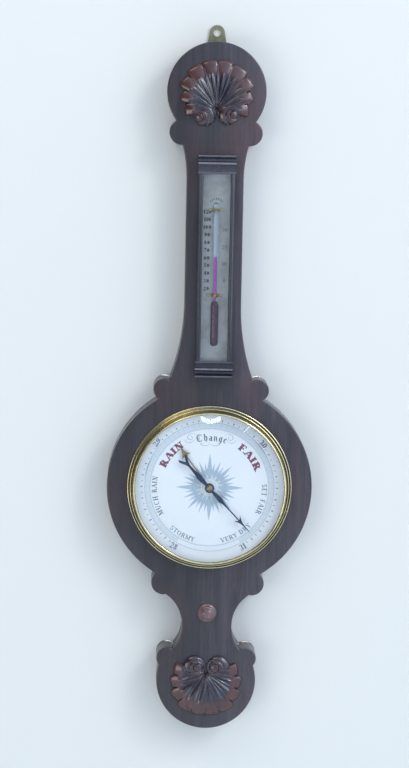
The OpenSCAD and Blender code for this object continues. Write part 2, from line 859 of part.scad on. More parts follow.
module spring_bridge() {
    color("#4a4e52") difference() {
        translate([bridge_x[0], -lower_limb, body[1] - bridge_half])
            cube([bridge_x[1] - bridge_x[0], bridge_h, 2 * bridge_half]);
        for (p = bridge_screw_at) rod(p, base_front - 1, base_front + short_thread, screw_m);
        for (p = limb_screw_at) rod(p, base_front + 1, lower_limb + 1, 1);
        rod([regulator_x, body[1]], base_front - 1, lower_limb + 1, regulator_r + run);
    }
}

module spring_strip() {
    difference() {
        disc([loop_x, loop_mid], loop_r + spring_t / 2);
        disc([loop_x, loop_mid], loop_r - spring_t / 2);
        translate([loop_x - 20, loop_mid - 10]) square([20, 20]);
    }
    translate([-14, spring_back]) square([loop_x + 14, spring_t]);
    translate([loop_x - limb_len, lower_limb]) square([limb_len, spring_t]);
}

module mainspring() {
    color("#6a7076") difference() {
        shelf(-spring_w / 2, spring_w / 2) spring_strip();
        rod(body, spring_back - 1, spring_front + 1, post_r + 0.6);
        for (p = limb_screw_at) rod(p, lower_limb - 1, lower_limb + spring_t + 1, 1);
    }
}

module spring_screws() {
    color("#5a6068") for (p = limb_screw_at) {
        rod(p, base_front + 1, lower_limb + spring_t, 1);
        rod(p, lower_limb + spring_t, lower_limb + spring_t + 1.2, 2);
    }
}

// The main lever: along the front of the mainspring, down past the capsule and out to its pin
lever_drop_x = -(capsule_r + 6);

module main_lever() {
    color("#8d9296") {
        shelf(-2, 2) {
            translate([lever_drop_x - lever_t, spring_front]) square([-lever_drop_x + lever_t - 8, lever_t]);
            translate([lever_drop_x - lever_t, lever_foot])
                square([lever_t, spring_front - lever_foot + lever_t]);
            translate([lever_pin[0] - 1.5, lever_foot]) square([lever_drop_x - lever_pin[0] + 1.5, lever_t]);
            translate([lever_pin[0] - 1.5, lever_foot]) square([3, lever_pin[1] - lever_foot]);
            disc(lever_pin, 1.5);
        }
        upright(lever_pin, -2, 4, pivot_r);
    }
}

module connecting_link() {
    color("#8d9296") shelf(link_z[0], link_z[1]) difference() {
        union() {
            disc(lever_pin, 1.5);
            disc(rock_pin, link_eye);
            translate([lever_pin[0] - 0.9, lever_pin[1]]) square([1.8, rock_pin[1] - lever_pin[1]]);
        }
        disc(lever_pin, pivot_r + run);
        disc(rock_pin, pivot_r + loose);
    }
}

post_z = 22.5;
shaft_post_at = [for (s = [-1, 1]) [shaft_x, body[1] + s * post_z]];

module rocking_shaft() {
    hub = [shaft_x, shaft_d];
    color("#9aa0a4") {
        upright(hub, -post_z + 1.6, post_z - 1.6, shaft_r);
        upright(hub, -post_z - 1.4, post_z + 1.4, pivot_r);
        shelf(4, 5.5) {
            disc(hub, 2.6);
            translate(hub) rotate(-rock_angle) translate([0, -1]) square([link_arm, 2]);
            disc(rock_pin, 1.2);
        }
        upright(rock_pin, 2.2, 4.2, pivot_r);
        shelf(-0.6, chain_z - 0.2) {
            disc(hub, 2.6);
            translate(hub) rotate(-rock_angle) translate([-0.9, 0]) square([1.8, chain_arm]);
            disc(chain_pin, 1.1);
        }
        upright(chain_pin, 0, chain_z + chain_t + 0.6, 0.5);
    }
}

module shaft_posts() {
    color("#a88f52") for (s = [-1, 1]) difference() {
        translate([shaft_x - 2.2, -(shaft_d + 3), body[1] + s * post_z - 1.5])
            cube([4.4, shaft_d + 3 - base_front, 3]);
        upright([shaft_x, shaft_d], s * post_z - 2, s * post_z + 2, pivot_r + run);
        rod([shaft_x, body[1] + s * post_z], base_front - 1, base_front + short_thread, screw_m);
    }
}

// Flat link chain from the rocking shaft to the drum
chain_links = 18;

module chain() {
    first = [chain_pin[0], chain_d];
    pitch = (-first[0]) / chain_links;
    color("#6a6f74") shelf(chain_z, chain_z + chain_t) difference() {
        union() {
            disc(first, 1.6);
            for (k = [1 : chain_links]) disc(first + [k * pitch, 0], chain_w / 2);
            translate(first - [0, 0.35]) square([-first[0], 0.7]);
        }
        disc(first, 0.5 + 0.4);
    }
}

module arbor() {
    color("#8d9296") {
        rod(body, rear_cock_back, arbor_front, arbor_r);
        rod(body, drum_back, drum_front, drum_r);
        rod(body, drum_back, drum_back + flange_t, drum_r + 1.4);
        rod(body, drum_front - flange_t, drum_front, drum_r + 1.4);
        rod(body, drum_front, hair_front, drum_r + 0.2);
    }
}

// Hairspring: a flat spiral from its collet to its stud
hair_turns = 4;
hair_r0 = drum_r + 0.2 + run;
hair_r1 = 9;
function hair_point(t, off) = let (r = hair_r0 + 0.5 + (hair_r1 - hair_r0 - 0.5) * t + off)
    [r * cos(360 * hair_turns * t), r * sin(360 * hair_turns * t)];

module hairspring() {
    steps = hair_turns * 18;
    color("#3c5a80") {
        slab(hair_back, hair_front) translate(body) {
            polygon(concat([for (k = [0 : steps]) hair_point(k / steps, 0.12)],
                [for (k = [steps : -1 : 0]) hair_point(k / steps, -0.12)]));
            difference() {
                circle(hair_r0 + 0.6);
                circle(hair_r0);
            }
        }
    }
}

module hairspring_stud() {
    color("#b59a55") difference() {
        rod(body + [hair_r1, 0], hair_back - 0.3, front_cock_back, 0.9);
        translate([hair_r1 - 0.3, -hair_front - 0.01, body[1] - 1]) cube([0.6, hair_w + 1, 2]);
    }
}

module cock(d0, hole) {
    difference() {
        union() {
            slab(d0, d0 + cock_t) translate(body) {
                box2(4, -cock_half, cock_half);
                circle(hair_r1 + 2);
                for (s = [-1, 1]) translate([0, cock_half * s]) circle(4);
            }
        }
        rod(body, d0 - 1, d0 + cock_t + 1, hole);
        for (p = post_at) rod(p, d0 - 1, d0 + cock_t + 1, screw_m);
    }
}

module rear_cock() {
    color("#b59a55") cock(rear_cock_back, arbor_r + run);
}

module front_cock() {
    color("#b59a55") cock(front_cock_back, arbor_r + run);
}

module cock_posts() {
    color("#a88f52") for (p = post_at) difference() {
        union() {
            rod(p, base_front, rear_cock_back, pillar_r);
            rod(p, rear_cock_back, front_cock_front, screw_m);
        }
        rod(p, base_front - 1, base_front + deep_thread, screw_m);
    }
}

module cock_spacers() {
    color("#a88f52") for (p = post_at) difference() {
        rod(p, rear_cock_front, front_cock_back, pillar_r);
        rod(p, rear_cock_front - 1, front_cock_back + 1, screw_m);
    }
}

module regulating_screw() {
    color("#6a7076") {
        rod([regulator_x, body[1]], base_back - 0.3, lower_limb - 0.1, regulator_r);
        difference() {
            rod([regulator_x, body[1]], base_back - 0.2 - regulator_head, base_back - 0.2, 4.4);
            translate([regulator_x - 5, 1.2 - base_back, body[1] - 0.5]) cube([10, regulator_head, 1]);
        }
    }
}

// Indicator hand, pointing up before it is turned to its rest direction
module indicator_outline() {
    circle(6.5);
    point = hand_len - 10;
    barb = hand_len - 26;
    polygon([[-1.6, 4], [-3, 17], [-1, 30], [-0.9, barb], [-5.8, barb - 3.2], [-2.4, barb + 4],
        [-1.1, barb + 8], [-0.5, point], [0, hand_len], [0.5, point], [1.1, barb + 8],
        [2.4, barb + 4], [5.8, barb - 3.2], [0.9, barb], [1, 30], [3, 17], [1.6, 4]]);
    polygon([[-1.6, -4], [-3.4, -18], [-1.4, -28], [-1.6, -tail_len + 3], [-6.8, -tail_len - 8],
        [-5, -tail_len - 11], [0, -tail_len - 2], [5, -tail_len - 11], [6.8, -tail_len - 8],
        [1.6, -tail_len + 3], [1.4, -28], [3.4, -18], [1.6, -4]]);
}

module indicator_hand() {
    color("#2e4a63") difference() {
        union() {
            slab(hand_back, hand_back + hand_t) translate(body) rotate(-hand_angle) indicator_outline();
            rod(body, hand_back - 0.9, hand_back, 3);
        }
        rod(body, hand_back - 2, hand_back + 2, arbor_r);
    }
}

module hub_cap() {
    color("#c4a860") difference() {
        spun(body, hand_back + hand_t) polygon([[0, 0], [cap_r, 0], [cap_r, 0.8], [cap_r - 0.5, 1.7],
            [cap_r - 1.6, 2.5], [cap_r - 3, cap_h - 0.1], [0, cap_h]]);
        rod(body, hand_back, arbor_front, arbor_r);
    }
}

module set_outline() {
    difference() {
        union() {
            circle(5);
            polygon([[-1.1, 4], [-0.7, set_len - 16], [-6.5, set_len - 14], [-2.6, set_len - 8], [0, set_len],
                [2.6, set_len - 8], [6.5, set_len - 14], [0.7, set_len - 16], [1.1, 4]]);
            polygon([[-1.1, -4], [-2, -14], [0, -18], [2, -14], [1.1, -4]]);
        }
        circle(pipe_r);
    }
}

module set_hand() {
    color("#a8905a") slab(set_back, set_back + set_t) translate(body) rotate(-set_angle) set_outline();
}

module grooved_pulley(c, r) {
    rim = r + cord_r + 0.6;
    deep = r - cord_r - loose;
    spun(c, pulley_back) polygon([[0, 0], [rim, 0], [rim, 0.3], [deep + 0.5, pulley_w / 2 - cord_r - loose],
        [deep, pulley_w / 2 - 0.3], [deep, pulley_w / 2 + 0.3], [deep + 0.5, pulley_w / 2 + cord_r + loose],
        [rim, pulley_w - 0.3], [rim, pulley_w], [0, pulley_w]]);
}

module set_pipe() {
    color("#b59a55") difference() {
        union() {
            grooved_pulley(body, hand_pulley_r);
            rod(body, pulley_back, pipe_front, pipe_r);
        }
        rod(body, pulley_back - 1, pipe_front + 1, pipe_bore);
    }
}

bush_body_r = 4;

module pipe_bush() {
    color("#b59a55") difference() {
        union() {
            rod(body, pulley_front + 0.3, card_face, bush_body_r);
            rod(body, card_face, bush_flange, 6);
        }
        rod(body, pulley_front - 1, bush_flange + 1, pipe_r + run);
    }
}

// Setting knob, its spindle, bush and pulley
bush_r = 4;
spindle_r = 2;
rose_h = 3.5;
knob_back = case_depth + rose_h + 0.3;

module knob_rose() {
    color("#6b3f38") difference() {
        spun(knob, case_depth) polygon([[0, 0], [rose_r, 0], [rose_r, 1.4], [rose_r - 0.6, 2.4],
            [rose_r - 1.8, 2.9], [rose_r - 2.4, rose_h], [0, rose_h]]);
        rod(knob, case_depth - 1, case_depth + rose_h + 1, bush_r);
    }
}

module knob_bush() {
    color("#b59a55") difference() {
        rod(knob, channel_floor - 0.3, case_depth + rose_h, bush_r);
        rod(knob, channel_floor - 1, case_depth + rose_h + 1, spindle_r + run);
    }
}

module set_knob() {
    color("#7a4a42") difference() {
        spun(knob, knob_back) polygon([[0, 0], [knob_r - 1, 0], [knob_r, 1], [knob_r, 2.6],
            [knob_r - 0.5, 3.6], [knob_r - 1.6, 4], [knob_r - 2, 4.6], [knob_r - 2.4, 5.8],
            [knob_r - 4, knob_len - 1.4], [knob_r - 6.5, knob_len - 0.4], [0, knob_len]]);
        rod(knob, knob_back - 1, knob_back + 5, spindle_r);
    }
}

module knob_spindle() {
    color("#8d9296") rod(knob, pulley_back - 0.6, knob_back + 5, spindle_r);
}

module knob_pulley() {
    color("#b59a55") difference() {
        grooved_pulley(knob, knob_pulley_r);
        rod(knob, pulley_back - 1, pulley_front + 1, spindle_r);
    }
}

// Endless cord: a half turn on each pulley and the two runs between them
module set_cord() {
    lean = asin((hand_pulley_r - knob_pulley_r) / knob_drop);
    run_len = knob_drop * cos(lean);
    color("#c9c2ae") {
        translate([body[0], -cord_d, body[1]]) rotate([90, 0, 0]) rotate([0, 0, -lean])
            rotate_extrude(angle = 180 + 2 * lean) translate([hand_pulley_r, 0]) circle(cord_r, $fn = 24);
        translate([knob[0], -cord_d, knob[1]]) rotate([90, 0, 0]) rotate([0, 0, 180 + lean])
            rotate_extrude(angle = 180 - 2 * lean) translate([knob_pulley_r, 0]) circle(cord_r, $fn = 24);
        for (s = [-1, 1])
            translate([s * knob_pulley_r * cos(lean), -cord_d, knob[1] - knob_pulley_r * sin(lean)])
                rotate([0, s * lean, 0]) translate([0, 0, -0.2])
                    cylinder(h = run_len + 0.4, r = cord_r - 0.03, $fn = 24);
    }
}

case_front();
case_body();
back_cover();
back_screws();
hanging_plate();
hanging_screws();
head_plug();
upper_shell();
lower_shell();
therm_rail_left();
therm_rail_right();
therm_top_moulding();
therm_bottom_moulding();
therm_glass();
therm_scale();
therm_tube();
therm_spirit();
tube_clips();
clip_pins();
bezel();
bezel_pins();
dial_glass();
glass_ring();
dial();
dial_plate();
dial_screws();
base_plate();
movement_pillars();
pillar_screws();
capsule_stud();
vacuum_capsule();
capsule_post();
knife_edge();
spring_bridge();
mainspring();
spring_screws();
main_lever();
connecting_link();
rocking_shaft();
shaft_posts();
chain();
arbor();
hairspring();
hairspring_stud();
rear_cock();
front_cock();
cock_posts();
cock_spacers();
regulating_screw();
indicator_hand();
hub_cap();
set_hand();
set_pipe();
pipe_bush();
set_cord();
set_knob();
knob_rose();
knob_spindle();
knob_pulley();
knob_bush();
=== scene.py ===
import bpy
import bmesh
from math import sin, cos, pi, radians, sqrt, hypot, atan2, degrees, exp
from mathutils import Matrix, Vector


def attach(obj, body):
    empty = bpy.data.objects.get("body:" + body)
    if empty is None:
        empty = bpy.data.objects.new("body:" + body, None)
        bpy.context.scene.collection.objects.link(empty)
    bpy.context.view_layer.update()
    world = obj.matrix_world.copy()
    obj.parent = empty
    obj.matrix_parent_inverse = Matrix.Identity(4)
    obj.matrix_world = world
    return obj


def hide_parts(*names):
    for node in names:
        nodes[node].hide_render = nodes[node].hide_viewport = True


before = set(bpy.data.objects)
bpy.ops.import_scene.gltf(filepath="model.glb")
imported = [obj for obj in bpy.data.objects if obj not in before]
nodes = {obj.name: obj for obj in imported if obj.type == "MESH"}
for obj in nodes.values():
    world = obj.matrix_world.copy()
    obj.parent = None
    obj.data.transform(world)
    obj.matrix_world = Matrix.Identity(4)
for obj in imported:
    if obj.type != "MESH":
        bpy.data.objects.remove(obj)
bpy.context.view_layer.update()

MM = 0.001

# Sizes and places, in millimetres. A place is x and height z, and depth is measured from the wall.

HEAD = (0.0, -78.7)
BODY = (0.0, -612.7)
FOOT = (0.0, -881.0)
KNOB = (0.0, -786.7)
FRONT_D = 32.0
CASE_D = 44.0
ARRIS = 1.6
DIAL_HOLE_R = 106.0
# applied pieces are drawn this much into the board that they are glued to
SUNK = 0.2

THERM_X = 2.0
BOX_HALF = 48.1 / 2
BOX_TOP = HEAD[1] - 84.0
BOX_LOW = BOX_TOP - 297.7
TOP_MOULDING = 25.0
LOW_MOULDING = 22.0
RAIL_W = 5.9
WIN_TOP = BOX_TOP - TOP_MOULDING
WIN_LOW = BOX_LOW + LOW_MOULDING
WIN_HALF = BOX_HALF - RAIL_W
SCALE_HALF = WIN_HALF + 2.65
SCALE_OVER = 2.1
SCALE_D = 42.5
BULB_R = 5.2
TUBE_R = 3.2
TUBE_LEN = 193.5
BULB_LEN = 59.5
TUBE_D = SCALE_D + BULB_R + 0.5
TUBE_LOW = WIN_LOW + 19.5
TUBE_TOP = TUBE_LOW + TUBE_LEN
BULB_TOP = TUBE_LOW + BULB_LEN

CARD_D = 43.3
# height of a printed mark, and how far its underside stands over the dial or the scale
MARK = 0.04
OVER = 0.02


def spot(x, d, z):
    return Vector((x, -d, z)) * MM


def clock(c, a, r):
    """Point at a direction in degrees, clockwise from the top, round a centre."""
    return (c[0] + r * sin(radians(a)), c[1] + r * cos(radians(a)))


# materials: small helpers for their nodes

def lin(r, g, b):
    """A colour as it is seen on a screen, 0 to 255, as a linear one."""
    out = []
    for v in (r, g, b):
        v /= 255.0
        out.append(v / 12.92 if v <= 0.04045 else ((v + 0.055) / 1.055) ** 2.4)
    return (*out, 1.0)


def plug(tree, v, socket):
    """Gives a socket a plain value, or links another socket to it."""
    if isinstance(v, (int, float, tuple)):
        socket.default_value = v
    else:
        tree.links.new(v, socket)


def math_node(tree, op, a, b=0.5, clamp=False):
    n = tree.nodes.new("ShaderNodeMath")
    n.operation = op
    n.use_clamp = clamp
    plug(tree, a, n.inputs[0])
    plug(tree, b, n.inputs[1])
    return n.outputs[0]


def times(tree, a, b):
    return math_node(tree, "MULTIPLY", a, b)


def plus(tree, a, b, clamp=False):
    return math_node(tree, "ADD", a, b, clamp)


def minus(tree, a, b):
    return math_node(tree, "SUBTRACT", a, b)


def ramp_node(tree, value, low, high):
    """0 below low and 1 above high, smooth between."""
    n = tree.nodes.new("ShaderNodeMapRange")
    n.interpolation_type = "SMOOTHSTEP"
    plug(tree, value, n.inputs["Value"])
    plug(tree, low, n.inputs["From Min"])
    plug(tree, high, n.inputs["From Max"])
    return n.outputs["Result"]


def blend_node(tree, factor, a, b, mode="MIX"):
    n = tree.nodes.new("ShaderNodeMix")
    n.data_type = "RGBA"
    n.blend_type = mode
    for k, v in ((0, factor), (6, a), (7, b)):
        plug(tree, v, n.inputs[k])
    return n.outputs[2]


def noise_node(tree, vector, scale, detail=3.0, rough=0.55, distort=0.0):
    n = tree.nodes.new("ShaderNodeTexNoise")
    for label, v in (("Vector", vector), ("Scale", scale), ("Detail", detail), ("Roughness", rough),
                     ("Distortion", distort)):
        plug(tree, v, n.inputs[label])
    return n.outputs["Fac"]


def stretch_node(tree, vector, scale, place=(0, 0, 0), turn=(0, 0, 0)):
    n = tree.nodes.new("ShaderNodeMapping")
    for label, v in (("Vector", vector), ("Scale", scale), ("Location", place), ("Rotation", turn)):
        plug(tree, v, n.inputs[label])
    return n.outputs["Vector"]


def apart_node(tree, vector):
    """The three parts of a vector."""
    n = tree.nodes.new("ShaderNodeSeparateXYZ")
    plug(tree, vector, n.inputs[0])
    return n.outputs


def vector_node(tree, *parts):
    n = tree.nodes.new("ShaderNodeCombineXYZ")
    for v, socket in zip(parts, n.inputs):
        plug(tree, v, socket)
    return n.outputs[0]


def mixed(tree, share, first, second, surface):
    """Sends two shaders to a surface: the share is that of the second."""
    mix = tree.nodes.new("ShaderNodeMixShader")
    for v, socket in zip((share, first, second), mix.inputs):
        plug(tree, v, socket)
    plug(tree, mix.outputs[0], surface)


# materials: effects that several of them share

def effect_group(name, inputs):
    """An empty group from its inputs and their defaults. It puts out a colour, a roughness and a height."""
    tree = bpy.data.node_groups.new(name, "ShaderNodeTree")
    new = tree.interface.new_socket
    new(name="Vector", in_out="INPUT", socket_type="NodeSocketVector")
    for label, default in inputs.items():
        kind = "NodeSocketColor" if isinstance(default, tuple) else "NodeSocketFloat"
        new(name=label, in_out="INPUT", socket_type=kind).default_value = default
    for label, kind in (("Color", "NodeSocketColor"), ("Roughness", "NodeSocketFloat"),
                        ("Height", "NodeSocketFloat")):
        new(name=label, in_out="OUTPUT", socket_type=kind)
    return tree, tree.nodes.new("NodeGroupInput").outputs, tree.nodes.new("NodeGroupOutput").inputs


def timber_group():
    """Figure, pores and polish of a hardwood whose grain runs along the third axis."""
    tree, i, o = effect_group("timber", {
        "Dark": (0.02, 0.012, 0.01, 1), "Light": (0.05, 0.03, 0.025, 1), "Flush": (0.06, 0.02, 0.015, 1),
        "Flush amount": 0.4, "Pores": 0.5, "Gloss": 0.3})

    def grain(along, scale, *more):
        return noise_node(tree, stretch_node(tree, i["Vector"], (1, 1, along)), scale, *more)

    figure = grain(0.14, 38, 4, 0.6, 0.6)
    stripe = grain(0.03, 230, 3, 0.6, 0.2)
    pore = grain(0.045, 1150, 2, 0.7)
    patch = noise_node(tree, stretch_node(tree, i["Vector"], (1, 1, 0.5), (3.1, 0.7, 1.9)), 15, 2, 0.5)
    streak = plus(tree, times(tree, figure, 0.55), times(tree, stripe, 0.45))
    colour = blend_node(tree, ramp_node(tree, streak, 0.36, 0.64), i["Dark"], i["Light"])
    flush = times(tree, ramp_node(tree, patch, 0.46, 0.66), i["Flush amount"])
    colour = blend_node(tree, flush, colour, i["Flush"])
    pit = times(tree, ramp_node(tree, pore, 0.56, 0.68), i["Pores"])
    plug(tree, blend_node(tree, pit, colour, (0.25, 0.22, 0.22, 1), "MULTIPLY"), o["Color"])
    rub = noise_node(tree, i["Vector"], 26, 4, 0.65)
    rough = plus(tree, i["Gloss"], times(tree, minus(tree, rub, 0.5), 0.28))
    plug(tree, plus(tree, rough, times(tree, pit, 0.15), True), o["Roughness"])
    plug(tree, minus(tree, times(tree, stripe, 0.35), times(tree, pit, 0.6)), o["Height"])
    return tree


def tarnish_group():
    """Bright and dull patches, specks and fine scratches of an old metal."""
    tree, i, o = effect_group("tarnish", {
        "Bright": (0.7, 0.55, 0.3, 1), "Dull": (0.35, 0.25, 0.12, 1), "Amount": 0.5, "Specks": 0.3,
        "Polish": 0.25})
    cloud = noise_node(tree, i["Vector"], 42, 5, 0.62, 0.4)
    fine = noise_node(tree, i["Vector"], 620, 3, 0.6)
    brushed = stretch_node(tree, i["Vector"], (1, 1, 0.08), turn=(0.2, 0.9, 0.1))
    scratch = noise_node(tree, brushed, 900, 2, 0.5)
    dull = times(tree, ramp_node(tree, cloud, 0.4, 0.66), i["Amount"])
    colour = blend_node(tree, dull, i["Bright"], i["Dull"])
    speck = times(tree, ramp_node(tree, fine, 0.6, 0.7), i["Specks"])
    plug(tree, blend_node(tree, speck, colour, i["Dull"]), o["Color"])
    rough = plus(tree, i["Polish"], times(tree, dull, 0.25))
    rough = plus(tree, rough, times(tree, speck, 0.2))
    plug(tree, plus(tree, rough, times(tree, scratch, 0.06), True), o["Roughness"])
    plug(tree, plus(tree, times(tree, speck, -0.5), times(tree, scratch, 0.25)), o["Height"])
    return tree


def age_group():
    """Yellowing, faint spots and dust of a pale surface such as a card or a cord."""
    tree, i, o = effect_group("age", {
        "Clean": (0.8, 0.8, 0.8, 1), "Aged": (0.7, 0.68, 0.6, 1), "Amount": 0.5, "Grain": 900.0})
    cloud = noise_node(tree, i["Vector"], 19, 4, 0.6)
    speck = noise_node(tree, i["Vector"], 260, 2, 0.5)
    spots = times(tree, ramp_node(tree, speck, 0.66, 0.74), 0.35)
    aged = plus(tree, ramp_node(tree, cloud, 0.4, 0.75), spots, True)
    plug(tree, blend_node(tree, times(tree, aged, i["Amount"]), i["Clean"], i["Aged"]), o["Color"])
    plug(tree, plus(tree, 0.42, times(tree, cloud, 0.2)), o["Roughness"])
    plug(tree, noise_node(tree, i["Vector"], i["Grain"], 2, 0.5), o["Height"])
    return tree


TIMBER = timber_group()
TARNISH = tarnish_group()
AGE = age_group()


# materials: their kinds

def new_material(name):
    """A material, its tree, its shader and the piece's own coordinates."""
    mat = bpy.data.materials.new(name)
    mat.use_nodes = True
    nt = mat.node_tree
    return mat, nt, nt.nodes["Principled BSDF"], nt.nodes.new("ShaderNodeTexCoord").outputs["Object"]


def effect(nt, tree, where, values):
    """One of the effects, placed in a material with its own values."""
    box = nt.nodes.new("ShaderNodeGroup")
    box.node_tree = tree
    nt.links.new(where, box.inputs["Vector"])
    for label, v in values.items():
        box.inputs[label].default_value = v
    return box.outputs


def surface(name, tree, values, bump, **shader):
    """A material fed by one effect. Gives back what it takes to change it: tree, shader and effect too."""
    mat, nt, bsdf, where = new_material(name)
    out = effect(nt, tree, where, values)
    relief = nt.nodes.new("ShaderNodeBump")
    plug(nt, bump, relief.inputs["Strength"])
    plug(nt, 0.2 * MM, relief.inputs["Distance"])
    plug(nt, out["Height"], relief.inputs["Height"])
    plug(nt, out["Color"], bsdf.inputs["Base Color"])
    plug(nt, out["Roughness"], bsdf.inputs["Roughness"])
    plug(nt, relief.outputs["Normal"], bsdf.inputs["Normal"])
    for label, v in shader.items():
        plug(nt, v, bsdf.inputs[label.replace("_", " ")])
    return mat, nt, bsdf, out


def timber(dark, light, flush, flush_amount, pores, gloss):
    return {"Dark": lin(*dark), "Light": lin(*light), "Flush": lin(*flush), "Flush amount": flush_amount,
            "Pores": pores, "Gloss": gloss}


def tarnish(bright, dull, amount, specks, polish):
    return {"Bright": lin(*bright), "Dull": lin(*dull), "Amount": amount, "Specks": specks, "Polish": polish}


def wear_and_highlight(nt):
    """How much each point of a piece is worn, or lightened as a painted highlight."""
    n = nt.nodes.new("ShaderNodeAttribute")
    n.attribute_name = "wear_and_highlight"
    return n.outputs["Fac"]


def carved(name, inner, inner_light, outer, outer_light, coat, coat_rough):
    """Polished carving: dark, and lighter and redder where the mask is high: at lobe ends, ridges, rims and
    arrises. That lighter colour is partly real wear and partly painted highlight where those edges catch the
    light.
    """
    mat, nt, bsdf, out = surface(name, TIMBER, timber(inner, inner_light, outer, 0.2, 0.45, 0.24), 0.3,
                                 Coat_Weight=coat, Coat_Roughness=coat_rough)
    where = nt.nodes.new("ShaderNodeTexCoord").outputs["Object"]
    wear_and_sheen = effect(nt, TIMBER, where, timber(outer, outer_light, outer_light, 0.4, 0.45, 0.28))
    plug(nt, blend_node(nt, wear_and_highlight(nt), out["Color"], wear_and_sheen["Color"]), bsdf.inputs["Base Color"])
    return mat


def patina_and_sheen_metal(name, dirt, *values):
    """Polished brass whose hollows have kept dark old lacquer and dirt. Where the mask is high it is clean
    brass, and on the bezel's upper left that brightening is a painted highlight.
    """
    mat, nt, bsdf, out = surface(name, TARNISH, tarnish(*values), 0.12, Metallic=1.0)
    # clean brass where the mask is high; on the bezel this also carries a painted highlight
    clean = wear_and_highlight(nt)
    plug(nt, blend_node(nt, clean, lin(*dirt), out["Color"]), bsdf.inputs["Base Color"])
    hollow = times(nt, minus(nt, 1.0, clean), 0.3)
    plug(nt, plus(nt, out["Roughness"], hollow), bsdf.inputs["Roughness"])
    return mat


def painted_shade_wood(name, deep, kept, half, values, **shader):
    """Wood with painted shade: its colour is blended towards a dark colour on the left, where the light is
    dimmer; kept is its share of colour there.
    """
    mat, nt, bsdf, out = surface(name, TIMBER, values, 0.35, **shader)
    x = apart_node(nt, nt.nodes.new("ShaderNodeTexCoord").outputs["Object"])[0]
    share = plus(nt, times(nt, ramp_node(nt, x, -half * MM, half * MM), 1.0 - kept), kept)
    plug(nt, blend_node(nt, share, lin(*deep), out["Color"]), bsdf.inputs["Base Color"])
    return mat


def glass_material(name, tint, dust, ior=1.5):
    """Clear glass, with a faint film of dust that only roughens it here and there."""
    mat, nt, bsdf, where = new_material(name)
    film = ramp_node(nt, noise_node(nt, where, 34, 5, 0.6), 0.5, 0.8)
    for label, v in (("Roughness", times(nt, film, dust)), ("Base Color", tint), ("Transmission Weight", 1.0),
                     ("IOR", ior)):
        plug(nt, v, bsdf.inputs[label])
    path = nt.nodes.new("ShaderNodeLightPath").outputs
    unseen = math_node(nt, "MAXIMUM", path["Is Shadow Ray"], path["Is Diffuse Ray"])
    clear = nt.nodes.new("ShaderNodeBsdfTransparent")
    plug(nt, tint, clear.inputs["Color"])
    mixed(nt, unseen, bsdf.outputs[0], clear.outputs[0], nt.nodes["Material Output"].inputs["Surface"])
    return mat


def spirit_material(name):
    """Dyed spirit: nearly black in the thick bulb, and clear magenta in the thin bore above it."""
    mat, nt, bsdf, where = new_material(name)
    cloud = noise_node(nt, where, 260, 2, 0.5)
    column = ramp_node(nt, apart_node(nt, where)[2], BULB_TOP * MM, (BULB_TOP + 4.0) * MM)
    deep = blend_node(nt, cloud, lin(66, 18, 50), lin(52, 14, 42))
    thin = blend_node(nt, cloud, lin(196, 44, 176), lin(160, 30, 140))
    plug(nt, blend_node(nt, column, deep, thin), bsdf.inputs["Base Color"])
    plug(nt, 0.5, bsdf.inputs["Roughness"])
    plug(nt, 0.1, bsdf.inputs["Specular IOR Level"])
    return mat


def ink(name, colour, faded):
    """Printing ink, a little uneven where it took less well."""
    mat, nt, bsdf, where = new_material(name)
    take = ramp_node(nt, noise_node(nt, where, 900, 3, 0.6), 0.45, 0.75)
    plug(nt, blend_node(nt, take, lin(*colour), lin(*faded)), bsdf.inputs["Base Color"])
    plug(nt, 0.55, bsdf.inputs["Roughness"])
    return mat


# materials: the wood, metal, glass, card and inks of this barometer

# the case wood carries painted shade: darker on its left, ramped over 45 mm either side of the middle
M = {"case_wood": painted_shade_wood("case_wood", (10, 11, 13), 0.55, 45.0,
                              timber((50, 46, 51), (72, 66, 73), (86, 58, 60), 0.45, 0.5, 0.34),
                              Coat_Weight=0.4, Coat_Roughness=0.22)}
# name, dark, light and flushed colour, amount of flush, pores, roughness, then the polish and its roughness
for name, *values, coat, coat_rough in (
        ("back_wood", (88, 62, 44), (128, 94, 66), (110, 74, 50), 0.4, 0.8, 0.62, 0.0, 0.5),
        ("plug_wood", (38, 44, 56), (50, 56, 70), (46, 48, 58), 0.2, 0.3, 0.4, 0.3, 0.2),
        ("turned_wood", (84, 58, 60), (126, 96, 98), (108, 70, 72), 0.35, 0.5, 0.32, 0.5, 0.12)):
    M[name] = surface(name, TIMBER, timber(*values), 0.35, Coat_Weight=coat, Coat_Roughness=coat_rough)[0]
# name, dark and light colour of the wood, then of its rubbed parts, which are partly painted highlights, the
# polish and its roughness
for name, *values in (
        ("ebonised_wood", (22, 24, 33), (32, 34, 45), (104, 99, 110), (132, 123, 132), 0.6, 0.14),
        ("carved_wood", (28, 25, 40), (42, 34, 48), (70, 38, 32), (90, 48, 40), 0.8, 0.09)):
    M[name] = carved(name, *values)
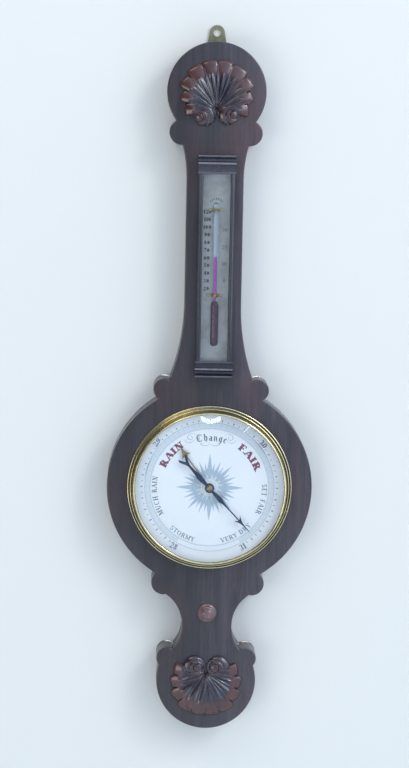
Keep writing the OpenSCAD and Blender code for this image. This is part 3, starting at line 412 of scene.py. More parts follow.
# name, height of its grain, bright and dull colour, amount of the dull one, specks, roughness
for name, bump, *values in (
        ("brass", 0.12, (226, 196, 128), (146, 112, 58), 0.5, 0.3, 0.22),
        ("plate_brass", 0.12, (150, 149, 122), (100, 98, 82), 0.6, 0.5, 0.42),
        ("old_brass", 0.12, (160, 142, 96), (84, 74, 54), 0.75, 0.6, 0.36),
        ("movement_brass", 0.12, (214, 182, 112), (140, 108, 58), 0.55, 0.3, 0.3),
        ("set_brass", 0.12, (164, 148, 102), (92, 82, 62), 0.6, 0.3, 0.3),
        ("steel", 0.12, (176, 178, 182), (110, 108, 106), 0.5, 0.4, 0.32),
        ("spring_steel", 0.12, (120, 126, 140), (64, 66, 76), 0.6, 0.3, 0.25),
        ("blued_steel", 0.12, (34, 62, 96), (20, 34, 54), 0.5, 0.2, 0.22),
        ("capsule_metal", 0.12, (206, 204, 196), (150, 144, 130), 0.5, 0.3, 0.3),
        ("cast_iron", 0.4, (84, 82, 82), (50, 46, 44), 0.7, 0.6, 0.5),
        ("silvered_plate", 0.12, (152, 157, 162), (132, 129, 124), 0.5, 0.3, 0.42)):
    M[name] = surface(name, TARNISH, tarnish(*values), bump, Metallic=1.0)[0]
M["bezel_brass"] = patina_and_sheen_metal("bezel_brass", (78, 73, 64), (228, 214, 168), (184, 168, 124), 0.4, 0.2, 0.1)
# name, height of its grain, clean and aged colour, amount of age, fineness of the grain
for name, bump, clean, aged, amount, fineness in (
        ("white_dial", 0.04, (231, 231, 232), (220, 222, 222), 0.4, 1500),
        ("enamel", 0.02, (158, 166, 172), (144, 152, 158), 0.4, 2000),
        ("cord", 0.6, (196, 186, 160), (140, 128, 104), 0.7, 3500)):
    M[name] = surface(name, AGE, {"Clean": lin(*clean), "Aged": lin(*aged), "Amount": amount,
                                  "Grain": fineness}, bump)[0]
M["clear_glass"] = glass_material("clear_glass", (0.97, 0.99, 1.0, 1), 0.05)
M["dial_glass"] = glass_material("dial_glass", (0.97, 0.99, 1.0, 1), 0.02)
M["tube_glass"] = glass_material("tube_glass", (0.9, 0.96, 0.98, 1), 0.06, 1.32)
M["red_spirit"] = spirit_material("red_spirit")
for name, colour, faded in (
        ("ink_dark", (52, 62, 72), (86, 98, 108)), ("ink_mid", (92, 106, 118), (124, 138, 150)),
        ("ink_grey", (118, 138, 154), (150, 168, 182)), ("ink_pale", (164, 178, 190), (186, 198, 208)),
        ("ink_band", (214, 219, 222), (220, 224, 226)), ("ink_red", (122, 46, 74), (150, 84, 108)),
        ("ink_brown", (104, 84, 74), (120, 104, 96)), ("ink_black", (34, 34, 38), (64, 64, 70))):
    M[name] = ink(name, colour, faded)


# shapes: meshes made into finished pieces

def mesh_of(name, bm):
    me = bpy.data.meshes.new(name)
    bm.to_mesh(me)
    bm.free()
    return me


def outward(me, merge=False):
    """Points the faces of a closed mesh outwards, after merging its doubles where asked."""
    bm = bmesh.new()
    bm.from_mesh(me)
    if merge:
        bmesh.ops.remove_doubles(bm, verts=bm.verts, dist=1e-7)
    bmesh.ops.recalc_face_normals(bm, faces=bm.faces)
    bm.to_mesh(me)
    bm.free()


def dress(name, me, slot, node=None, body="case", mat=None, angle=32):
    """Makes a mesh a piece: its material, which is its slot's unless one is given, its sharp edges and its
    body, and hides the solid it stands for.
    """
    me.materials.clear()
    me.materials.append(mat or M[slot])
    me.shade_smooth()
    me.set_sharp_from_angle(angle=radians(angle))
    ob = bpy.data.objects.new(name, me)
    bpy.context.scene.collection.objects.link(ob)
    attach(ob, body)
    if node:
        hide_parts(node)


def piece(name, verts, faces, slot, node=None, body="case", mat=None, angle=32, values=None):
    """A finished piece from points (x, depth, z) and faces. values say how worn each point is, or how much
    painted highlight it carries.
    """
    me = bpy.data.meshes.new(name)
    me.from_pydata([spot(*v) for v in verts], [], faces)
    if values:
        me.attributes.new("wear_and_highlight", "FLOAT", "POINT").data.foreach_set("value", values)
    outward(me, merge=True)
    dress(name, me, slot, node, body, mat, angle)


def joined(name, meshes, slot, node=None, body="case", mat=None):
    """One piece out of several meshes that share a material."""
    bm = bmesh.new()
    for me in meshes:
        bm.from_mesh(me)
    dress(name, mesh_of(name, bm), slot, node, body, mat)


# shapes: outlines and the surfaces made from them

def soften(points, reach, steps=4, closed=True):
    """Rounds the corners of a profile: each is swapped for a short curve that starts up to reach away."""
    out, n = [], len(points)
    for k in range(n):
        p = Vector(points[k])
        if not closed and k in (0, n - 1):
            out.append(tuple(p))
            continue
        a, b = Vector(points[k - 1]), Vector(points[(k + 1) % n])
        r = min(reach, (a - p).length * 0.45, (b - p).length * 0.45)
        s, e = p + (a - p).normalized() * r, p + (b - p).normalized() * r
        for j in range(steps + 1):
            t = j / steps
            out.append(tuple(s * (1 - t) ** 2 + p * 2 * t * (1 - t) + e * t * t))
    return out


def facing(centre):
    """Places the points of a shape turned round an axis that stands out from the wall."""
    def place(share, r, d):
        x, z = clock(centre, 360.0 * share, r)
        return (x, d, z)
    return place


def upright(share, r, h):
    """Places the points of a shape turned round the thermometer tube's own axis, h above its foot."""
    a = 2 * pi * share
    return (THERM_X + r * cos(a), TUBE_D + r * sin(a), TUBE_LOW + h)


def turned(place, profile, steps=96):
    """Points and faces of a profile of (radius, height) turned round an axis. It is closed, or has a pole at
    each end."""
    verts, rings = [], []
    for r, h in profile:
        if r < 1e-6:
            rings.append([len(verts)] * steps)
            verts.append(place(0, 0, h))
        else:
            rings.append(list(range(len(verts), len(verts) + steps)))
            verts += [place(k / steps, r, h) for k in range(steps)]
    poles = profile[0][0] < 1e-6 and profile[-1][0] < 1e-6
    faces = []
    for a, b in zip(rings, rings[1:] + ([] if poles else rings[:1])):
        for k in range(steps):
            q = [a[k], a[(k + 1) % steps], b[(k + 1) % steps], b[k]]
            q = [v for j, v in enumerate(q) if v != q[j - 1]]
            if len(q) > 2:
                faces.append(q)
    return verts, faces


def strip(a, b):
    """Faces between two rows of points."""
    return [[a[k], b[k], b[k + 1], a[k + 1]] for k in range(len(a) - 1)]


def inset_loop(loop, amount):
    """A closed loop of (x, z) moved to its left by an amount, with its corners mitred."""
    out, n = [], len(loop)
    for k in range(n):
        a, p, b = Vector(loop[k - 1]), Vector(loop[k]), Vector(loop[(k + 1) % n])
        u, v = (p - a).normalized(), (b - p).normalized()
        nu, nv = Vector((-u.y, u.x)), Vector((-v.y, v.x))
        m = nu + nv
        m = m / max(m.length, 1e-9)
        out.append(tuple(p + m * amount / max(m.dot(nu), 0.45)))
    return out


def board(loops, path):
    """A board from loops of (x, z): the first is its outline, clockwise, the others its holes, the other way.
    path gives (inset, depth) from the back to the front. Both ends are filled."""
    verts, faces, ends = [], [], ([], [])
    loops = [list(reversed(l)) for l in loops]
    for loop in loops:
        rings = []
        for inset, d in path:
            ring = list(range(len(verts), len(verts) + len(loop)))
            verts += [(x, d, z) for x, z in inset_loop(loop, inset)]
            rings.append(ring)
        for a, b in zip(rings, rings[1:]):
            for k in range(len(loop)):
                faces.append([a[k], a[(k + 1) % len(loop)], b[(k + 1) % len(loop)], b[k]])
        ends[0].append(rings[0])
        ends[1].append(rings[-1])
    bm = bmesh.new()
    bv = [bm.verts.new(spot(*v)) for v in verts]
    for f in faces:
        bm.faces.new([bv[i] for i in f])
    for rings in ends:
        edges = []
        for ring in rings:
            for k in range(len(ring)):
                a, b = bv[ring[k]], bv[ring[(k + 1) % len(ring)]]
                edges.append(bm.edges.get((a, b)) or bm.edges.new((a, b)))
        bmesh.ops.triangle_fill(bm, use_beauty=True, use_dissolve=False, edges=edges)
    bmesh.ops.recalc_face_normals(bm, faces=bm.faces)
    return bm


def arris(d0, d1, r, n):
    """Path of a board's edge, from its back to a front arris rounded to a radius."""
    turns = [t * pi / 2 / n for t in range(n + 1)]
    return [(0.0, d0)] + [(r * (1 - cos(a)), d1 - r * (1 - sin(a))) for a in turns]


def round_hole(c, r, n):
    """A circle as a hole of a board."""
    return [clock(c, -360.0 * k / n, r) for k in range(n)]


def square_hole(x0, x1, z0, z1):
    """A rectangle as a hole of a board."""
    return [(x0, z0), (x1, z0), (x1, z1), (x0, z1)]


def meet(c0, r0, c1, r1, which):
    """Where two circles cross: of both points, the one that which rates higher."""
    dx, dz = c1[0] - c0[0], c1[1] - c0[1]
    d = hypot(dx, dz)
    a = (r0 * r0 - r1 * r1 + d * d) / (2 * d)
    h = sqrt(max(r0 * r0 - a * a, 0.0))
    mx, mz = c0[0] + a * dx / d, c0[1] + a * dz / d
    return max((mx + h * dz / d, mz - h * dx / d), (mx - h * dz / d, mz + h * dx / d), key=which)


def arc_between(c, r, p, q, clockwise, step):
    """Points of an arc from p up to q, which it leaves out, about a step apart."""
    a0 = degrees(atan2(p[0] - c[0], p[1] - c[1]))
    a1 = degrees(atan2(q[0] - c[0], q[1] - c[1]))
    turn = (a1 - a0) % 360 if clockwise else -((a0 - a1) % 360)
    n = max(2, int(abs(radians(turn)) * r / step))
    return [clock(c, a0 + turn * k / n, r) for k in range(n)]


def case_outline():
    """The banjo outline, clockwise from the top: rounds of its head, ears, flares, body, waist and foot."""
    head_r, body_r, foot_r = 66.2, 139.5, 68.0
    head_ear_r, top_ear_r, low_ear_r, foot_ear_r = 17.0, 14.9, 16.5, 14.5
    head_ear = clock(HEAD, 180 - 39.6, head_r + 4.8)
    top_ear = clock(BODY, 25.4, body_r + 8.1)
    low_ear = clock(BODY, 180 - 24.5, body_r + 6.4)
    foot_ear = clock(FOOT, 60.5, foot_r - 6)
    neck_half, flare_top_r, flare_low_r = 38.1, 175.0, 290.0
    waist_half, waist_r = 33.9, 52.4
    flare_top_drop, flare_low_rise, waist_rise = 45.0, 115.0, 45.5
    shoulder = (head_ear[0], head_ear[1] - head_ear_r)
    flare_top = (neck_half + flare_top_r, shoulder[1] - flare_top_drop)
    flare_low = (neck_half + flare_low_r, top_ear[1] + flare_low_rise)
    flare_start = (flare_top[0] - sqrt(flare_top_r ** 2 - flare_top_drop ** 2), shoulder[1])
    neck_high, neck_low = (neck_half, flare_top[1]), (neck_half, flare_low[1])
    waist = (waist_half + waist_r, foot_ear[1] + waist_rise)
    top, bottom = (0, HEAD[1] + head_r), (0, FOOT[1] - foot_r)
    up, down, out = (lambda p: p[1]), (lambda p: -p[1]), (lambda p: p[0])
    a = meet(HEAD, head_r, head_ear, head_ear_r, up)
    b = meet(flare_low, flare_low_r, top_ear, top_ear_r, up)
    c = meet(BODY, body_r, top_ear, top_ear_r, out)
    d = meet(BODY, body_r, low_ear, low_ear_r, out)
    e = meet(waist, waist_r, low_ear, low_ear_r, down)
    f = meet(waist, waist_r, foot_ear, foot_ear_r, up)
    g = meet(FOOT, foot_r, foot_ear, foot_ear_r, down)
    right = arc_between(HEAD, head_r, top, a, True, 1.1)
    right += arc_between(head_ear, head_ear_r, a, shoulder, True, 0.8) + [shoulder]
    right += arc_between(flare_top, flare_top_r, flare_start, neck_high, False, 2.5)
    right += [(neck_half, neck_high[1] + (neck_low[1] - neck_high[1]) * k / 8) for k in range(8)]
    right += arc_between(flare_low, flare_low_r, neck_low, b, False, 2.5)
    right += arc_between(top_ear, top_ear_r, b, c, True, 0.8)
    right += arc_between(BODY, body_r, c, d, True, 1.1)
    right += arc_between(low_ear, low_ear_r, d, e, True, 0.8)
    right += arc_between(waist, waist_r, e, f, False, 1.2)
    right += arc_between(foot_ear, foot_ear_r, f, g, True, 0.8)
    right += arc_between(FOOT, foot_r, g, bottom, True, 1.1) + [bottom]
    return right + [(-x, z) for x, z in reversed(right[1:-1])]


# the case, and the finish of every solid

front = board([
    case_outline(), round_hole(BODY, DIAL_HOLE_R, 240),
    square_hole(THERM_X - SCALE_HALF, THERM_X + SCALE_HALF, WIN_LOW - SCALE_OVER, WIN_TOP + SCALE_OVER)],
    arris(FRONT_D, CASE_D, ARRIS, 5))
dress("front_board", mesh_of("front_board", front), "case_wood", "case_front")

# Solids that no piece stands for keep their own shape; only their finish is given here.
FINISH = {
    "case_wood": "case_body case_front", "back_wood": "back_cover", "plug_wood": "head_plug",
    "turned_wood": "set_knob knob_rose", "carved_wood": "upper_shell lower_shell",
    "ebonised_wood": "therm_rail_left therm_rail_right therm_top_moulding therm_bottom_moulding",
    "brass": "back_screws bezel_pins set_hand", "plate_brass": "hanging_plate", "bezel_brass": "bezel",
    "old_brass": "hub_cap glass_ring tube_clips",
    "movement_brass": "dial_plate base_plate movement_pillars capsule_stud main_lever shaft_posts "
                      "hairspring_stud rear_cock front_cock cock_posts cock_spacers set_pipe pipe_bush "
                      "knob_pulley knob_bush",
    "steel": "hanging_screws dial_screws capsule_post knife_edge spring_screws connecting_link "
             "rocking_shaft chain arbor regulating_screw knob_spindle",
    "blued_steel": "pillar_screws hairspring indicator_hand", "spring_steel": "mainspring",
    "capsule_metal": "vacuum_capsule", "cast_iron": "spring_bridge",
    "silvered_plate": "therm_scale clip_pins", "white_dial": "dial", "cord": "set_cord",
    "clear_glass": "therm_glass dial_glass therm_tube", "red_spirit": "therm_spirit"}
for finish, labels in FINISH.items():
    for label in labels.split():
        nodes[label].data.materials.clear()
        nodes[label].data.materials.append(M[finish])


# the carved shells

SHELL_TALL = 8.4
RIDGE = 0.6
FLUTE = 1.1
NICK = 0.8


def bell(x, wide):
    return exp(-(x / wide) ** 2)


def tent(x, wide):
    return max(0.0, 1.0 - abs(x) / wide)


def step_between(x, low, high):
    t = max(0.0, min(1.0, (x - low) / (high - low)))
    return t * t * (3 - 2 * t)


def shell(name, node, origin, turn, lobes, volutes):
    """A carved shell on the front face. lobes are (direction, half-width, length) clockwise from the middle.
    Fine ridges run out between the lobes and down the middle of each, with a hollow flute on either side;
    the flutes run out before the rim, where every lobe is a smooth pad that rolls over at its end."""
    base = CASE_D - SUNK
    lo, hi = lobes[0][0] - lobes[0][1], lobes[-1][0] + lobes[-1][1]
    steps_a, steps_r = 560, 60
    heel_r, rim_round, side_fall = 1.5, 2.0, 3.0
    c, s = cos(radians(turn)), sin(radians(turn))

    def place(a, r, h):
        x, z = clock((0, 0), a, r)
        return (origin[0] + x * c - z * s, base + h, origin[1] + x * s + z * c)

    def height(across, t, r, half, side):
        """Height at a share across its lobe and a share t along it, and how much wear and painted highlight
        it carries there.
        """
        along = 0.42 + 0.58 * sin(pi * min(t * 0.93 + 0.06, 1.0)) ** 0.8
        width = radians(half) * max(r, 4)
        off = abs(across) * width
        near = min(1.0, width / 4.5)
        begun = min(1, t * 4)
        fluted = begun * (1 - step_between(t, 0.62, 0.78))
        joint = begun * (1 - step_between(t, 0.86, 0.95))
        h = SHELL_TALL * along * (1 - 0.15 * across * across)
        h -= FLUTE * near * sin(pi * abs(across)) ** 2 * fluted
        h += RIDGE * near * (tent(off, 1.1 * near) * fluted + tent(width - off, 1.1 * near) * joint)
        h -= NICK * bell(width - off, 1.0) * step_between(t, 0.86, 0.96)
        lip = 1 - max(0.0, (t - 0.945) / 0.055) ** 2
        # lobe pads, mid ridges and the rim lip get the lighter colour: partly wear, partly painted highlight
        # where they catch the light
        pad = 0.75 * step_between(t, 0.6, 0.78) * (1 - 0.5 * bell(width - off, 1.2))
        wear_and_sheen = max(pad, 0.25 * bell(off, 0.6), step_between(t, 0.93, 0.97))
        return max(h * (0.3 + 0.7 * lip) * (0.4 + 0.6 * side), 0.6), wear_and_sheen

    verts, wear_and_sheen, rows = [], [], []
    for i in range(steps_a + 1):
        a = lo + (hi - lo) * i / steps_a
        mid, half, length = min(lobes, key=lambda l: abs(a - l[0]) / l[1])
        across = (a - mid) / half
        end = length - rim_round * abs(across) ** 5
        side = min(1.0, (a - lo) / side_fall, (hi - a) / side_fall)
        rows.append(list(range(len(verts), len(verts) + steps_r + 2)))
        for k in range(steps_r + 1):
            t = k / steps_r
            r = heel_r + (end - heel_r) * t
            h, wear_and_sheen_here = height(across, t, r, half, side)
            verts.append(place(a, r, h))
            wear_and_sheen.append(wear_and_sheen_here)
        verts.append(place(a, end + 0.1, 0.0))
        wear_and_sheen.append(0.0)
    heel = len(verts)
    verts.append(place((lo + hi) / 2, 0.0, 0.0))
    wear_and_sheen.append(0.0)
    faces = []
    for a, b in zip(rows, rows[1:]):
        faces += strip(a, b) + [[a[-1], b[-1], heel], [b[0], a[0], heel]]
    first, last = rows[0], rows[-1]
    for k in range(steps_r + 1):
        faces += [[first[k], first[k + 1], heel], [last[k + 1], last[k], heel]]
    piece(name, verts, faces, "carved_wood", node, angle=70, values=wear_and_sheen)
    for n, (x, z, r, spin, eye) in enumerate(volutes):
        cx, cz = origin[0] + x * c - z * s, origin[1] + x * s + z * c
        ex, ez = cx + eye[0] * c - eye[1] * s, cz + eye[0] * s + eye[1] * c
        scroll(f"{name}_scroll_{n + 1}", (cx, cz), (ex, ez), r, spin, base)


def scroll(name, centre, eye, r, spin, base):
    """A rolled scroll: a domed boss with a groove that winds in to a round eye on one side of it."""
    steps_a, steps_r = 120, 36
    tall = SHELL_TALL * 0.98
    eye_r = r * 0.36
    pitch = r * 0.62
    verts, rows, wear_and_sheen = [], [], []
    for i in range(steps_a):
        a = 360.0 * i / steps_a
        rows.append(list(range(len(verts), len(verts) + steps_r + 1)))
        for k in range(1, steps_r + 1):
            t = k / steps_r
            x, z = clock(centre, a, r * t)
            far = hypot(x - eye[0], z - eye[1])
            way = degrees(atan2(x - eye[0], z - eye[1]))
            wind = ((far - eye_r) / pitch - spin * way / 360.0) % 1.0
            groove = bell(wind - 0.5, 0.12) * step_between(far, eye_r, eye_r + 1.0)
            groove = max(groove, bell(far - eye_r - 0.4, 0.55))
            dome = sqrt(max(0.0, 1 - (t * 0.97) ** 2.8))
            h = tall * (0.22 + 0.78 * dome) - 1.3 * groove + 0.5 * bell(far, eye_r * 0.8)
            verts.append((x, base + max(h, 0.5), z))
            # lighter on the boss, most near its top, and dark in the groove: partly wear, partly painted
            # highlight and painted shade
            wear_and_sheen.append(max(0.0, 0.5 * (1 - groove) * (1 - 0.5 * t)))
        x, z = clock(centre, a, r)
        verts.append((x, base, z))
        wear_and_sheen.append(0.0)
    top, foot = len(verts), len(verts) + 1
    verts += [(centre[0], base + tall, centre[1]), (centre[0], base, centre[1])]
    wear_and_sheen += [0.5, 0.0]
    faces = []
    for a, b in zip(rows, rows[1:] + rows[:1]):
        faces += strip(a, b) + [[top, b[0], a[0]], [a[-1], b[-1], foot]]
    piece(name, verts, faces, "carved_wood", angle=70, values=wear_and_sheen)


def both(half_lobes):
    """The lobes of both sides from those of the right one."""
    return [(-a, w, l) for a, w, l in reversed(half_lobes)] + list(half_lobes)


shell("upper_fan", "upper_shell", (0, HEAD[1] - 23.6), 0.0,
      both([(9.5, 9.5, 66.2), (29.5, 10.5, 65.0), (49.5, 9.5, 60.0), (68.5, 9.5, 51.5),
            (91.0, 13.0, 43.0)]),
      [(-15.8, -6.8, 15.2, 1.0, (-8.0, -4.0)), (15.6, -5.8, 14.2, -1.0, (7.5, -1.5))])
shell("lower_fan", "lower_shell", (0, FOOT[1] + 10.4), 180.0,
      both([(10.0, 10.0, 59.7), (31.0, 11.0, 60.4), (52.5, 10.5, 55.8), (74.0, 11.0, 50.3),
            (98.0, 13.0, 44.5)]),
      [(-16.6, -8.4, 15.6, 1.0, (5.0, 0.8)), (16.2, -8.6, 15.6, -1.0, (-5.0, 0.8))])


# the thermometer's box

def ebonised_bar(name, node, profile, place_a, place_b, angle, wear_and_sheen):
    """A straight bar: a closed profile swept between two placing functions.
    The last argument says, from a point of the profile, how worn it is and how much painted highlight it
    carries."""
    n = len(profile)
    verts = [place_a(*p) for p in profile] + [place_b(*p) for p in profile]
    faces = [[k, (k + 1) % n, n + (k + 1) % n, n + k] for k in range(n)]
    faces += [list(range(n)), list(range(2 * n - 1, n - 1, -1))]
    piece(name, verts, faces, "ebonised_wood", node, angle=angle, values=[wear_and_sheen(*p) for p in profile] * 2)


def rail(name, side, node):
    w, h = RAIL_W, 14.0
    profile = soften([(0, 0), (w, 0), (w, h - 4.2), (w - 1.1, h - 3.2), (w - 1.1, h - 2.2), (w - 2.2, h),
                      (1.2, h), (0, h - 1.6)], 0.5, 3)

    def at(z):
        return lambda u, v: (THERM_X + side * (WIN_HALF + u), CASE_D + v, z)
    # a lighter line along each rail's inner front edge: partly wear, partly a painted highlight
    ebonised_bar(name, node, profile, at(WIN_LOW - 0.05), at(WIN_TOP + 0.05), 32,
                 lambda u, v: 0.12 if v > h - 0.5 and u < 2.2 else 0.0)


rail("left_rail", -1, "therm_rail_left")
rail("right_rail", 1, "therm_rail_right")


def moulding(name, node, end, length, way):
    """A moulding across an end of the box: a bold roll, a deep cove and a fine double bead."""
    high = 15.0
    line = [(0, 0.2), (0.0, high), (1.9, high), (2.6, high - 1.2), (3.4, high - 2.6), (4.8, high - 4.6),
            (6.6, high - 5.0), (8.3, high - 4.4), (8.9, high - 2.4), (9.3, high - 0.9), (10.2, high - 0.3),
            (11.3, high - 0.2), (12.3, high - 0.7), (12.9, high - 1.8), (13.4, high - 3.0),
            (length - 3.4, high - 3.2), (length - 2.9, high - 2.3), (length, high - 2.0), (length, 0.2)]
    half = BOX_HALF + 1.2

    # lighter lines on the top edge, the bead and the lip: partly wear of the arrises, partly painted
    # highlight lines
    def wear_and_sheen(u, v):
        top_edge = 0.5 if u < 2.2 and v > high - 0.6 else 0.0
        bead = 0.9 if 9.6 < u < 12.0 and v > high - 0.9 else 0.0
        lip = 0.3 if u > length - 3.0 and v > high - 2.9 else 0.0
        return max(top_edge, bead, lip)

    def at(x):
        return lambda u, v: (THERM_X + x, CASE_D - SUNK + v, end + way * u)
    ebonised_bar(name, node, soften(line, 0.7, 3), at(-half), at(half), 40, wear_and_sheen)


moulding("top_moulding", "therm_top_moulding", BOX_TOP, TOP_MOULDING, -1)
moulding("bottom_moulding", "therm_bottom_moulding", BOX_LOW, LOW_MOULDING, 1)


# the thermometer's tube

SPIRIT_R = 4.35
BORE_R = 1.15
tube = soften([(0, 0), (3.4, 0.5), (BULB_R, 3.2), (BULB_R, 55.0), (4.4, 57.6), (TUBE_R, BULB_LEN + 0.4),
               (TUBE_R, TUBE_LEN - 2.3), (2.2, TUBE_LEN - 0.5), (0, TUBE_LEN)], 1.2, 4, False)
piece("tube", *turned(upright, tube, 40), "clear_glass", "therm_tube", mat=M["tube_glass"], angle=50)
spirit = soften([(0, 1.3), (2.6, 1.7), (SPIRIT_R, 4.0), (SPIRIT_R, 54.0), (3.2, 57.0), (BORE_R, 60.2),
                 (BORE_R, 120.0), (0, 120.5)], 0.9, 3, False)
piece("spirit", *turned(upright, spirit, 40), "red_spirit", "therm_spirit", angle=50)


def enamel_back():
    """The white strip fused into the back of such tubes, which shows the spirit up."""
    r, thin, reach, n = 2.3, 0.82, 80, 8
    arc = [clock((0, 0), 180 + reach - 2 * reach * k / n, r) for k in range(n + 1)]
    loop = arc + [(x * thin, d * thin) for x, d in reversed(arc)]
    m = len(loop)
    verts = [(THERM_X + x, TUBE_D + d, z) for z in (BULB_TOP + 2.5, TUBE_TOP - 3.0) for x, d in loop]
    faces = [[k, (k + 1) % m, m + (k + 1) % m, m + k] for k in range(m)]
    for z in (0, 1):
        faces += [[z * m + k, z * m + k + 1, z * m + m - 2 - k, z * m + m - 1 - k] for k in range(n)]
    piece("tube_enamel", verts, faces, "white_dial", mat=M["enamel"], angle=60)


enamel_back()


def clip(name, node, z):
    """A spring clip over the tube: an arched strap with a foot on each side and turned up edges."""
    strap, wide, foot, edge, lift = 0.6, 4.2, 11.0, 0.35, 0.12
    arch, leg = TUBE_R + 0.38, TUBE_R + 0.58
    path = [(-foot, 0.0), (-leg, 0.0)]
    path += [(-arch * cos(radians(a)), TUBE_D - SCALE_D + arch * sin(radians(a))) for a in range(0, 181, 12)]
    path = soften(path + [(leg, 0.0), (foot, 0.0)], 0.8, 3, False)
    outer, inner = [], []
    for k, p in enumerate(path):
        t = (Vector(path[min(k + 1, len(path) - 1)]) - Vector(path[max(k - 1, 0)])).normalized()
        nx, nd = -t.y * strap / 2, t.x * strap / 2
        outer.append((p[0] + nx, p[1] + nd + strap / 2))
        inner.append((p[0] - nx, p[1] - nd + strap / 2))
    m = len(path)
    rows = [(-wide / 2, 0.0), (-wide / 2 + edge, lift), (wide / 2 - edge, lift), (wide / 2, 0.0)]
    verts = [(THERM_X + x, SCALE_D + d + up, z + dz) for dz, up in rows for x, d in outer]
    verts += [(THERM_X + x, SCALE_D + d, z + dz) for dz, up in rows for x, d in inner]
    faces = []
    for k in range(m - 1):
        for j in range(3):
            faces.append([j * m + k, j * m + k + 1, (j + 1) * m + k + 1, (j + 1) * m + k])
            faces.append([(4 + j) * m + k, (5 + j) * m + k, (5 + j) * m + k + 1, (4 + j) * m + k + 1])
        faces += [[k, 4 * m + k, 4 * m + k + 1, k + 1], [3 * m + k, 3 * m + k + 1, 7 * m + k + 1, 7 * m + k]]
    for k in (0, m - 1):
        faces.append([j * m + k for j in range(4)] + [(7 - j) * m + k for j in range(4)])
    piece(name, verts, faces, "old_brass", node, angle=40)


clip("clip_1", "tube_clips", TUBE_TOP - 10.5)
clip("clip_2", None, BULB_TOP + 9)


# marks: one tree sets flat bars round a centre, or down a line

def bars_tree():
    """Flat bars at even steps, either round a centre or down a line. Sizes are in metres and radians."""
    tree = bpy.data.node_groups.new("even_bars", "GeometryNodeTree")
    new = tree.interface.new_socket
    kinds = {int: "NodeSocketInt", float: "NodeSocketFloat", tuple: "NodeSocketVector"}
    for label, default in (("Count", 10), ("First", 0.0), ("Step", 0.1), ("Radius", 0.0), ("Line step", 0.0),
                           ("Centre", (0, 0, 0)), ("Length", 0.004), ("Width", 0.0004), ("Taper", 1.0),
                           ("Thickness", MARK * MM)):
        new(name=label, in_out="INPUT", socket_type=kinds[type(default)]).default_value = default
    new(name="Material", in_out="INPUT", socket_type="NodeSocketMaterial")
    new(name="Geometry", in_out="OUTPUT", socket_type="NodeSocketGeometry")
    gin = tree.nodes.new("NodeGroupInput").outputs

    def node(kind, **inputs):
        """The first output of a node whose inputs are linked by name."""
        n = tree.nodes.new(kind)
        for label, v in inputs.items():
            tree.links.new(v, n.inputs[label])
        return n.outputs[0]

    index = node("GeometryNodeInputIndex")
    turn = plus(tree, gin["First"], times(tree, index, gin["Step"]))
    across = times(tree, math_node(tree, "SINE", turn), gin["Radius"])
    upward = times(tree, math_node(tree, "COSINE", turn), gin["Radius"])
    upward = minus(tree, upward, times(tree, index, gin["Line step"]))
    shift = tree.nodes.new("ShaderNodeVectorMath")
    tree.links.new(vector_node(tree, across, 0.0, upward), shift.inputs[0])
    tree.links.new(gin["Centre"], shift.inputs[1])
    points = node("GeometryNodePoints", Count=gin["Count"], Position=shift.outputs[0])
    bar = node("GeometryNodeMeshCube", Size=vector_node(tree, gin["Width"], gin["Thickness"], gin["Length"]))
    x, y, z = apart_node(tree, node("GeometryNodeInputPosition"))
    outer = math_node(tree, "GREATER_THAN", z, 0.0)
    narrow = minus(tree, 1.0, times(tree, outer, minus(tree, 1.0, gin["Taper"])))
    slim = vector_node(tree, times(tree, x, narrow), y, z)
    bar = node("GeometryNodeSetPosition", Geometry=bar, Position=slim)
    lean = vector_node(tree, 0.0, turn, 0.0)
    spread = node("GeometryNodeInstanceOnPoints", Points=points, Instance=bar, Rotation=lean)
    real = node("GeometryNodeRealizeInstances", Geometry=spread)
    paint = node("GeometryNodeSetMaterial", Geometry=real, Material=gin["Material"])
    tree.links.new(paint, tree.nodes.new("NodeGroupOutput").inputs[0])
    return tree


BARS = bars_tree()


def bars(mat, **values):
    """The plain mesh that the tree makes with these inputs. An underscore stands for a space."""
    ob = bpy.data.objects.new("bars_seed", bpy.data.meshes.new("bars_seed"))
    bpy.context.scene.collection.objects.link(ob)
    mod = ob.modifiers.new("grow", "NODES")
    mod.node_group = BARS
    keys = {i.name: i.identifier for i in BARS.interface.items_tree
            if i.item_type == "SOCKET" and i.in_out == "INPUT"}
    for label, v in values.items():
        mod[keys[label.replace("_", " ")]] = v
    mod[keys["Material"]] = mat
    me = bpy.data.meshes.new_from_object(ob.evaluated_get(bpy.context.evaluated_depsgraph_get()))
    ob.modifiers.remove(mod)
    bpy.data.objects.remove(ob)
    return me


def ring_bars(tone, centre, d, radius, first, step, count, length, width, taper=1.0):
    middle = tuple(spot(centre[0], d, centre[1]))
    return bars(M[tone], Count=count, First=radians(first), Step=radians(step), Radius=radius * MM,
                Centre=middle, Length=length * MM, Width=width * MM, Taper=taper)


def line_bars(tone, x, d, top, step, count, length, width):
    return bars(M[tone], Count=count, Step=0.0, Line_step=step * MM, Centre=tuple(spot(x, d, top)),
                Length=width * MM, Width=length * MM)


# marks: letters and figures, drawn with a broad pen

